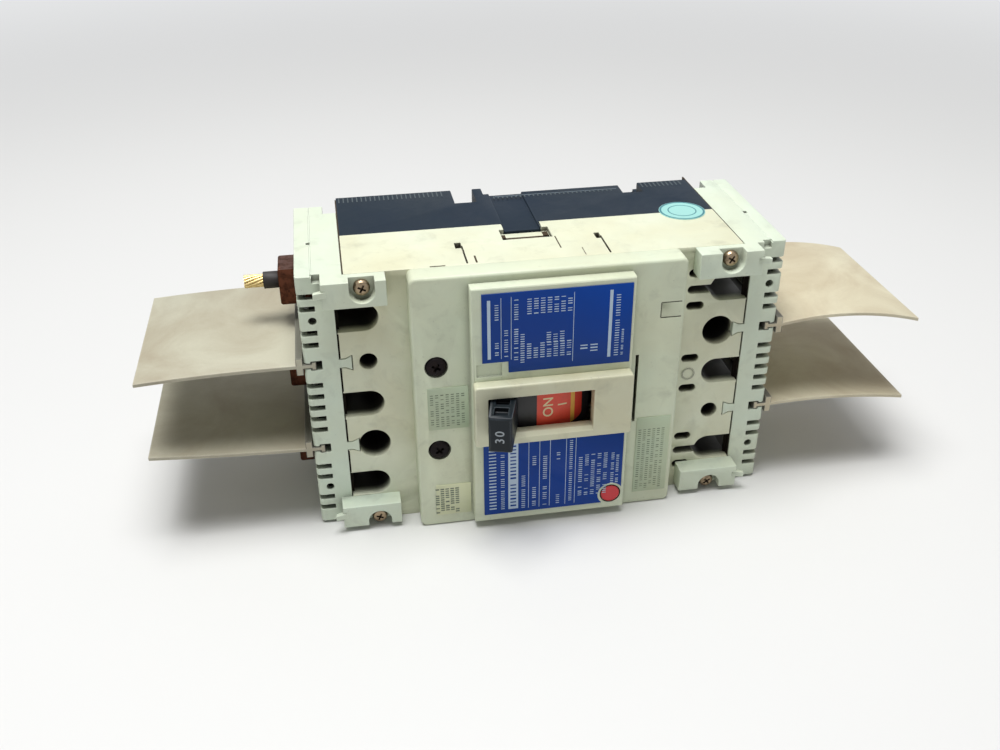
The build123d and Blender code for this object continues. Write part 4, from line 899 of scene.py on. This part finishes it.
class BREAKER_OT_covers(bpy.types.Operator):
    """Main cover, centre cover and escutcheon"""
    bl_idname = "breaker.covers"
    bl_label = "Covers"

    def execute(self, context):
        dress("main_cover", "cover_cream", case().fine_round)
        dress("centre_cover", "centre_cream", case().fine_round)
        dress("escutcheon", "escutcheon_cream", case().housing_round, 3)
        # joint lines of the moulding, and a painted shadow along the near step and in both end corners of the
        # side recess (the first three rows): middle along X, nearest and furthest depth, width, and their face
        side = high("main_cover").z / MM
        recess = side - 1.6
        rows = [bar("joint_line", "seam_dark", (along, -(near + far) / 2, face + 0.02),
                    (width, far - near, 0.04))
                for along, near, far, width, face in (
                    (-3.3, 40.5, 45.0, 15.4, recess), (-10.1, 38.0, 45.0, 1.7, recess),
                    (3.5, 37.5, 45.0, 1.9, recess), (5.2, 45.2, 54.2, 0.36, side),
                    (11.5, 55.0, 60.4, 0.22, side), (-21.4, 55.2, 60.2, 0.55, side),
                    (-33.1, 60.4, 60.9, 4.6, side))]
        settle(join("joint_lines", rows), "housing", "cover_cream")
        # painted shadow: dark sheets in the gaps between the main cover and the end covers, and dark strips on
        # the cover's face along the comb plates
        combs, sides = [], []
        for end in (-1, 1):
            for inset, under, width, depth in ((0.15, 1.35, 0.26, 1.7), (0.45, 2.9, 0.95, 1.0)):
                combs.append(bar("comb_joint", "seam_black",
                                 (end * (COMB_EDGE - inset), under - SHOULDER, 0.0), (width, depth, 69.0)))
            for first in (-21.0, 9.2):
                combs.append(bars("comb_edge", "seam_black", 2,
                                  (end * (COMB_EDGE - 0.44), -0.01 - SHOULDER, first), (0, 0, 11.8),
                                  (0.28, 0.04, 8.2)))
            for level in (-1, 1):
                sides.append(bar("side_joint", "seam_dark", (end * 60.7, -SHOULDER / 2, level * (side - 1.05)),
                                 (0.38, SHOULDER - 3.0, 1.7)))
        settle(join("comb_joints", combs), "housing", "cover_cream")
        settle(join("side_joints", sides), "housing", "cover_cream")
        return {"FINISHED"}


class BREAKER_OT_end_covers(bpy.types.Operator):
    """Slotted end covers with their comb plates and fixing arms"""
    bl_idname = "breaker.end_covers"
    bl_label = "End Covers"

    def execute(self, context):
        dress("line_end_cover", "end_cover_pale", case().fine_round, level=True)
        dress("load_end_cover", "end_cover_pale", case().fine_round)
        top, rear = high("line_end_cover").z / MM, -high("line_end_cover").y / MM
        stretches = ((rear + 0.5, SHOULDER - 25.2), (SHOULDER - 23.3, SHOULDER - 1.8))
        rows = [bar("score_line", "end_cover_pale", (end * 69.8, -(near + far) / 2, top - 0.22),
                    (0.36, far - near, 0.3))
                for end in (-1, 1) for near, far in stretches]
        settle(join("score_lines", rows), "housing", "end_cover_pale")
        return {"FINISHED"}


class BREAKER_OT_barriers(bpy.types.Operator):
    """Four fibre barriers between the phases"""
    bl_idname = "breaker.barriers"
    bl_label = "Barriers"

    def execute(self, context):
        # the line-end barriers are darkened as painted shade
        for end, finish in (("line", "barrier_worn"), ("load", "barrier_fibre")):
            for level in ("upper", "lower"):
                sheet = dress(f"barrier_{end}_{level}", finish, 0.2)
                # the beads near the end covers take the grey darkened as painted shade
                add_finish(sheet, "barrier_bead", lambda centre: abs(centre.x) < 76.95 * MM)
        return {"FINISHED"}


class BREAKER_OT_handle(bpy.types.Operator):
    """Handle knob with its plain number, and the skirt with its ON and I marks"""
    bl_idname = "breaker.handle"
    bl_label = "Handle"

    def execute(self, context):
        dress("handle_knob", "knob_slate", 0.35, 3)
        dress("handle_skirt", "skirt_bands", 0.15)
        paint("frame_steel", "handle_yoke")
        outward = Vector((math.sin(LEAN), -math.cos(LEAN), 0.0))
        upward = outward.cross(UP)
        number = letters("handle_number", "30", fittings().mark_size, "printed_grey", spacing=1.3, weight=0.02)
        end = PIVOT + outward * (KNOB_REACH + 0.01) * MM - UP * 0.6 * MM
        place_mesh(number.data, axes_matrix(end, UP, upward, outward))
        settle(number, "handle", "knob_slate")
        marks = []
        for text, size, middle, lift in (("ON", 4.5, 3.7, -0.6), ("I", 4.2, 10.1, -0.3)):
            mark = letters("skirt_mark_" + text, text, size, "printed_cream", 0.05, weight=0.04)
            for vert in mark.data.vertices:
                along, high_up, out = vert.co
                angle = math.radians(middle) - high_up / SKIRT_R
                reach = SKIRT_R + 0.00002 + out
                vert.co = (PIVOT.x + reach * math.sin(angle), PIVOT.y - reach * math.cos(angle),
                           along + lift * MM)
            marks.append(mark)
        settle(join("skirt_marks", marks), "handle", "skirt_black")
        return {"FINISHED"}


class BREAKER_OT_screws(bpy.types.Operator):
    """Cross-head screws of the covers and terminals"""
    bl_idname = "breaker.screws"
    bl_label = "Screws"

    def execute(self, context):
        first, last = low("end_cover_screws"), high("end_cover_screws")
        pattern = screw_head("end_screw", 2.45, 1.9, 1.25, 10.5, "zinc_steel")
        places = [(side * (last.x - 2.45 * MM), first.y + 1.9 * MM, edge * (last.z - 2.45 * MM))
                  for side in (-1, 1) for edge in (-1, 1)]
        settle(copies("end_cover_screw_heads", pattern, places, "zinc_steel", 3), "housing", "zinc_steel",
               "end_cover_screws")
        first, last = low("centre_cover_screws"), high("centre_cover_screws")
        pattern = screw_head("centre_screw", 3.3, 1.5, 1.5, 15.5, "black_steel", 1.1)
        places = [((first.x + last.x) / 2, first.y + 1.5 * MM, edge * (last.z - 3.3 * MM)) for edge in (-1, 1)]
        settle(copies("centre_cover_screw_heads", pattern, places, "black_steel", 5), "housing", "black_steel",
               "centre_cover_screws")
        for node in ("line_terminal_screws", "load_terminal_screws"):
            first, last = low(node), high(node)
            pattern = screw_head("terminal_screw", 4.1, 3.4, 2.4, (last.y - first.y) / MM - 3.6, "zinc_steel")
            places = [((first.x + last.x) / 2, first.y + 3.4 * MM, pole * POLE_PITCH * MM)
                      for pole in (-1, 0, 1)]
            settle(copies(node + "_dressed", pattern, places, "zinc_steel", 7), "housing", "zinc_steel", node)
        paint("zinc_steel", "cover_screws", "terminal_washers", "terminal_nuts", "lug_screws")
        return {"FINISHED"}


class BREAKER_OT_labels(bpy.types.Operator):
    """Bare label fields with generic ruled lines, and the round sticker"""
    bl_idname = "breaker.labels"
    bl_label = "Labels"

    def execute(self, context):
        dress("upper_label", "label_blue", 0.05, 1)
        dress("lower_label", "label_blue", 0.05, 1)
        side = dress("side_labels", "label_faded", 0.05, 1)
        add_finish(side, "label_pale", lambda centre: centre.x < 0 and centre.z < -27.0 * MM)
        front = low("upper_label").y / MM

        def rule(across, middle, length, width=0.16):
            rows.append(bar("rule", "printed_white", (across, front, middle), (width, 0.06, length)))

        def lines(across, middle, length, count=1, step=1.0, height=1.1, pitch=0.78, thick=0.34, kept=0.88):
            rows.append(bars("lines", "printed_white", count, (across, front, middle - length / 2 + pitch / 2),
                             (step, 0, 0), (height, 0.06, thick), int(length / pitch), pitch, 0.55, kept,
                             len(rows) + 2))

        rows = []
        rule(-20.1, 28.4, 19.4, 0.95)
        lines(-17.8, 21.6, 5.6)
        lines(-17.8, 34.6, 6.6)
        rule(-16.5, 28.6, 20.0)
        lines(-15.0, 23.6, 9.4)
        rule(-13.5, 28.4, 20.6)
        lines(-12.0, 23.2, 11.4, height=1.2)
        lines(-12.0, 34.8, 7.6, height=1.2)
        lines(-10.1, 22.0, 11.2, height=1.2)
        lines(-8.1, 20.6, 5.8, 7, 2.02, 1.3)
        lines(-8.1, 35.4, 5.8, 7, 2.02, 1.3)
        lines(-2.2, 24.8, 4.4, 3, 2.02, 1.3)
        rule(5.2, 27.2, 23.0)
        lines(8.6, 19.8, 3.2, 2, 3.1, 2.2, 1.0, 0.5)
        rule(16.4, 27.2, 22.4, 0.95)
        lines(18.6, 26.8, 21.6, height=1.3, pitch=0.84)
        lines(20.4, 21.0, 9.6, height=0.7, pitch=0.6)
        lines(-19.5, -24.6, 26.0, height=2.3, pitch=1.25, thick=0.62, kept=1.0)
        lines(-16.3, -25.4, 24.6, height=1.2)
        rule(-12.9, -24.4, 26.6, 3.2)
        field = bars("field_lines", "label_blue", 1, (-12.9, front - 0.04, -36.4), (1, 0, 0), (1.9, 0.03, 0.7),
                     18, 1.36, 0.6, 0.86, 4)
        settle(field, "housing", "label_blue")
        lines(-9.6, -31.0, 14.0, height=1.2)
        rule(-7.9, -25.0, 26.0)
        lines(-6.1, -33.4, 8.4, height=1.2)
        lines(-6.1, -19.0, 5.0, height=1.2)
        rule(-4.4, -25.0, 26.0)
        lines(-2.6, -33.8, 7.8, height=1.3)
        lines(-2.6, -22.6, 9.4, height=1.3)
        rule(-1.0, -25.0, 26.0)
        rule(4.2, -25.0, 26.0)
        lines(1.7, -35.4, 4.4, height=1.1)
        lines(1.7, -19.0, 4.0, height=1.1)
        lines(5.8, -24.8, 24.6, height=1.0)
        rule(7.3, -25.0, 26.0)
        lines(9.0, -27.0, 17.0, 5, 2.05, 1.2, kept=0.74)
        lines(19.6, -25.6, 12.6, height=1.0)
        lines(21.2, -26.0, 11.4, height=0.9, pitch=0.7)
        settle(join("label_rules", rows), "housing", "label_blue")
        front = low("side_labels").y / MM
        rows = [bars("marks", finish, count, (across, front, first), (step, 0, 0), (height, 0.05, thick),
                     dashes, pitch, shortest, kept, seed)
                for finish, count, across, first, step, height, thick, dashes, pitch, shortest, kept, seed in (
                    ("printed_dark", 7, -37.4, -5.9, 1.6, 0.95, 0.34, 15, 0.8, 0.6, 0.84, 2),
                    ("printed_black", 5, -36.9, -39.4, 1.6, 1.2, 0.56, 12, 0.84, 0.7, 0.84, 7),
                    ("printed_black", 6, 29.4, -38.2, 1.55, 0.95, 0.3, 30, 0.8, 0.6, 0.88, 1))]
        settle(join("side_label_rules", rows), "housing", "label_grey")
        self.sticker()
        return {"FINISHED"}

    def sticker(self):
        first, last = low("round_sticker"), high("round_sticker")
        centre = Vector(((first.x + last.x) / 2, (first.y + last.y) / 2, first.z))
        for name, inner, outer, thick, finish, replaced in (
                ("field", 0.0, 7.5, 0.20, "sticker_pale", ["round_sticker"]),
                ("rim", 6.7, 7.35, 0.225, "sticker_teal", []), ("band", 4.3, 4.7, 0.225, "sticker_teal", [])):
            ring = flat_ring("sticker_" + name, inner, outer, thick, finish)
            place_mesh(ring.data, Matrix.Translation(centre))
            settle(ring, "housing", "sticker_teal", *replaced)


class BREAKER_OT_trip_button(bpy.types.Operator):
    """Red trip button and its return spring"""
    bl_idname = "breaker.trip_button"
    bl_label = "Trip Button"

    def execute(self, context):
        dress("trip_button", "button_red", 0.25, 3)
        face, edge = low("trip_button"), high("trip_button")
        reach, plate = (edge.x - face.x) / 2 / MM, low("centre_cover").y
        # a painted shadow: a dark ring on the centre cover round the button
        rim = flat_ring("button_rim", reach + 0.02, reach + 0.36, 0.08, "seam_black")
        middle = Vector(((face.x + edge.x) / 2, plate, (face.z + edge.z) / 2))
        place_mesh(rim.data, axes_matrix(middle, RIGHT, UP, FRONT))
        settle(rim, "housing", "centre_cream")
        first, last = low("trip_button_spring"), high("trip_button_spring")
        coil = grow("button_coil", "Wound spring", {"Turns": 4.5, "Radius": (last.x - first.x) / 2 - 0.35 * MM,
                                                    "Height": last.y - first.y - 0.7 * MM,
                                                    "Wire Radius": 0.3 * MM}, "spring_steel")
        seat = Vector(((first.x + last.x) / 2, last.y - 0.35 * MM, (first.z + last.z) / 2))
        place_mesh(coil.data, axes_matrix(seat, RIGHT, UP, FRONT))
        settle(coil, "housing", "spring_steel", "trip_button_spring")
        return {"FINISHED"}


class BREAKER_OT_lugs(bpy.types.Operator):
    """Cable lugs, with the cut wire in the upper one"""
    bl_idname = "breaker.lugs"
    bl_label = "Lugs and Wire"

    def execute(self, context):
        for pole in (1, 2, 3):
            dress(f"line_lug_{pole}", "lug_copper", case().metal_round)
        dress("wire_sleeve", "rubber_black", 0.25)
        first, last = low("wire_strands"), high("wire_strands")
        centre = Vector((last.x, (first.y + last.y) / 2, (first.z + last.z) / 2))
        length, outer = last.x - first.x, (last.z - first.z) / 2
        strand = outer * 0.2
        rings = [grow(name, "Twisted strands", {"Count": count, "Lay Radius": lay, "Strand Radius": strand,
                                                "Length": reach, "Twist": twist}, "strand_copper")
                 for name, count, lay, reach, twist in (
                     ("strand_ring", fittings().strand_count, outer - strand - 0.02 * MM, length, 0.7),
                     ("strand_core", 6, outer - strand * 3.1, length - 0.3 * MM, 0.5))]
        wire = join("wire_strand_bundle", rings)
        place_mesh(wire.data, axes_matrix(centre, UP, -FRONT, -RIGHT))
        settle(wire, "housing", "wire_copper", "wire_strands")
        return {"FINISHED"}


class BREAKER_OT_current_path(bpy.types.Operator):
    """Terminal straps, contacts and flexible links"""
    bl_idname = "breaker.current_path"
    bl_label = "Current Path"

    def execute(self, context):
        for pole in (1, 2, 3):
            dress(f"line_terminal_{pole}", "copper", case().metal_round)
            dress(f"load_terminal_{pole}", "copper", case().metal_round)
            paint("copper", f"moving_contact_{pole}")
            paint("chute_fibre", f"arc_chute_{pole}")
        paint("silver_contact", "fixed_contact_tips", "moving_contact_tips")
        paint("copper", "flexible_links")
        return {"FINISHED"}


class BREAKER_OT_mechanism(bpy.types.Operator):
    """Switching mechanism and trip unit"""
    bl_idname = "breaker.mechanism"
    bl_label = "Mechanism"

    def execute(self, context):
        paint("frame_steel", "mechanism_frame", "cradle", "upper_links", "lower_links", "armatures",
              "magnet_yokes")
        paint("crossbar_black", "contact_shaft", "trip_bar")
        paint("zinc_steel", "frame_pins")
        paint("spring_steel", "main_springs")
        paint("bimetal_strip", "bimetal_1", "bimetal_2", "bimetal_3")
        return {"FINISHED"}


class BREAKER_OT_stage(bpy.types.Operator):
    """Pale floor, soft light and the camera"""
    bl_idname = "breaker.stage"
    bl_label = "Stage"
    haze, haze_level = (0.98, 0.99, 1.0, 1.0), 0.8

    def execute(self, context):
        settings = context.scene.breaker_stage
        self.floor(settings, CAD_BOX[0][2])
        self.lamps(settings)
        self.world(settings)
        self.camera(context)
        context.scene.view_settings.view_transform = "Standard"
        return {"FINISHED"}

    def in_sight(self, tree):
        """One for what the camera sees, straight on, mirrored or through something clear."""
        camera, mirrored, clear = (signal(tree, "ShaderNodeLightPath", output=name)
                                   for name in ("Is Camera Ray", "Is Glossy Ray", "Is Transmission Ray"))
        return camera.maths("MAXIMUM", mirrored.maths("MAXIMUM", clear))

    def floor(self, settings, floor_z):
        """A pale floor that fades into the haze all round."""
        mesh = bpy.data.meshes.new("floor")
        with editing(mesh) as shape:
            bmesh.ops.create_circle(shape, cap_ends=True, segments=64, radius=4.0)
            bmesh.ops.translate(shape, verts=shape.verts, vec=(0.0, 0.0, floor_z))
            for face in shape.faces:
                if face.normal.z < 0:
                    face.normal_flip()
        material = bpy.data.materials.new("floor_pale")
        material.use_nodes = True
        tree = material.node_tree
        shader = tree.nodes["Principled BSDF"]
        coords = object_coords(tree)
        tone, darker = ((*(value * share for value in settings.floor_colour), 1.0) for share in (1.0, 0.97))
        feed(shader.inputs["Base Color"], blend(noise(coords, 3.0, 3.0, 0.5), tone, darker))
        feed(shader.inputs["Roughness"], 0.6)
        reach = signal(tree, "ShaderNodeVectorMath", {"Vector": coords}, "Value", operation="LENGTH")
        far = signal(tree, "ShaderNodeMapRange", {"Value": reach, "From Min": 0.3, "From Max": 1.0},
                     interpolation_type="SMOOTHSTEP")
        glow = signal(tree, "ShaderNodeEmission", {"Color": self.haze, "Strength": self.haze_level})
        mixed = signal(tree, "ShaderNodeMixShader", {"Fac": far * self.in_sight(tree),
                                                     1: shader.outputs["BSDF"], 2: glow})
        feed(tree.nodes["Material Output"].inputs["Surface"], mixed)
        mesh.materials.append(material)
        obj = link("floor", mesh)

    def lamps(self, settings):
        for name, place, size, power in (("key_lamp", (-0.12, -0.10, 1.05), 0.55, settings.key_power),
                                         ("fill_lamp", (0.9, -0.8, 0.45), 0.7, settings.fill_power),
                                         ("rear_lamp", (0.3, 0.45, 0.85), 0.6, settings.fill_power)):
            light = bpy.data.lights.new(name, "AREA")
            light.size = size
            light.energy = power
            lamp = link(name, light)
            lamp.location = place
            lamp.rotation_euler = (-Vector(place)).to_track_quat("-Z", "Y").to_euler()

    def world(self, settings):
        """Even light all round, with the haze where it is seen."""
        world = bpy.data.worlds.new("even_light")
        world.use_nodes = True
        background = world.node_tree.nodes["Background"].inputs
        feed(background["Color"], self.haze)
        feed(background["Strength"], self.in_sight(world.node_tree) * (self.haze_level - settings.sky_strength)
             + settings.sky_strength)
        bpy.context.scene.world = world

    def camera(self, context):
        data = bpy.data.cameras.new("camera")
        data.sensor_width = 36.0
        data.lens = 37.82
        data.clip_start = 0.01
        camera = link("camera", data)
        right = Vector((0.98568, -0.16851, -0.00660))
        upward = Vector((0.09152, 0.50167, 0.86020))
        backward = Vector((-0.14164, -0.84849, 0.50991))
        camera.matrix_world = axes_matrix(Vector((-61.43, -339.53, 173.30)) * MM, right, upward, backward)
        context.scene.camera = camera


OPERATORS = (BREAKER_OT_base, BREAKER_OT_covers, BREAKER_OT_end_covers, BREAKER_OT_barriers, BREAKER_OT_handle,
             BREAKER_OT_screws, BREAKER_OT_labels, BREAKER_OT_trip_button, BREAKER_OT_lugs,
             BREAKER_OT_current_path, BREAKER_OT_mechanism, BREAKER_OT_stage)


class BREAKER_PT_panel(bpy.types.Panel):
    """The breaker's sizes and the steps that build it"""
    bl_idname = "BREAKER_PT_panel"
    bl_label = "Moulded-case Breaker"
    bl_space_type = "VIEW_3D"
    bl_region_type = "UI"
    bl_category = "Breaker"

    def draw(self, context):
        layout = self.layout
        for group in (context.scene.breaker_case, context.scene.breaker_fittings, context.scene.breaker_stage):
            box = layout.box()
            for name in group.bl_rna.properties.keys():
                if name not in ("rna_type", "name"):
                    box.prop(group, name)
        for operator in OPERATORS:
            layout.operator(operator.bl_idname)


CLASSES = (CaseSettings, FittingSettings, StageSettings) + OPERATORS + (BREAKER_PT_panel,)


def register():
    for item in CLASSES:
        bpy.utils.register_class(item)
    bpy.types.Scene.breaker_case = bpy.props.PointerProperty(type=CaseSettings)
    bpy.types.Scene.breaker_fittings = bpy.props.PointerProperty(type=FittingSettings)
    bpy.types.Scene.breaker_stage = bpy.props.PointerProperty(type=StageSettings)


def unregister():
    del bpy.types.Scene.breaker_stage
    del bpy.types.Scene.breaker_fittings
    del bpy.types.Scene.breaker_case
    for item in reversed(CLASSES):
        bpy.utils.unregister_class(item)


def main():
    register()
    for make in (make_wear_group, make_plastic_group, make_metal_group, make_fibre_group, make_finishes,
                 make_copy_tree, make_row_tree, make_coil_tree, make_strand_tree):
        make()
    bpy.ops.breaker.base()
    bpy.ops.breaker.covers()
    bpy.ops.breaker.end_covers()
    bpy.ops.breaker.barriers()
    bpy.ops.breaker.handle()
    bpy.ops.breaker.screws()
    bpy.ops.breaker.labels()
    bpy.ops.breaker.trip_button()
    bpy.ops.breaker.lugs()
    bpy.ops.breaker.current_path()
    bpy.ops.breaker.mechanism()
    bpy.ops.breaker.stage()
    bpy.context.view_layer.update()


if __name__ == "__main__":
    main()
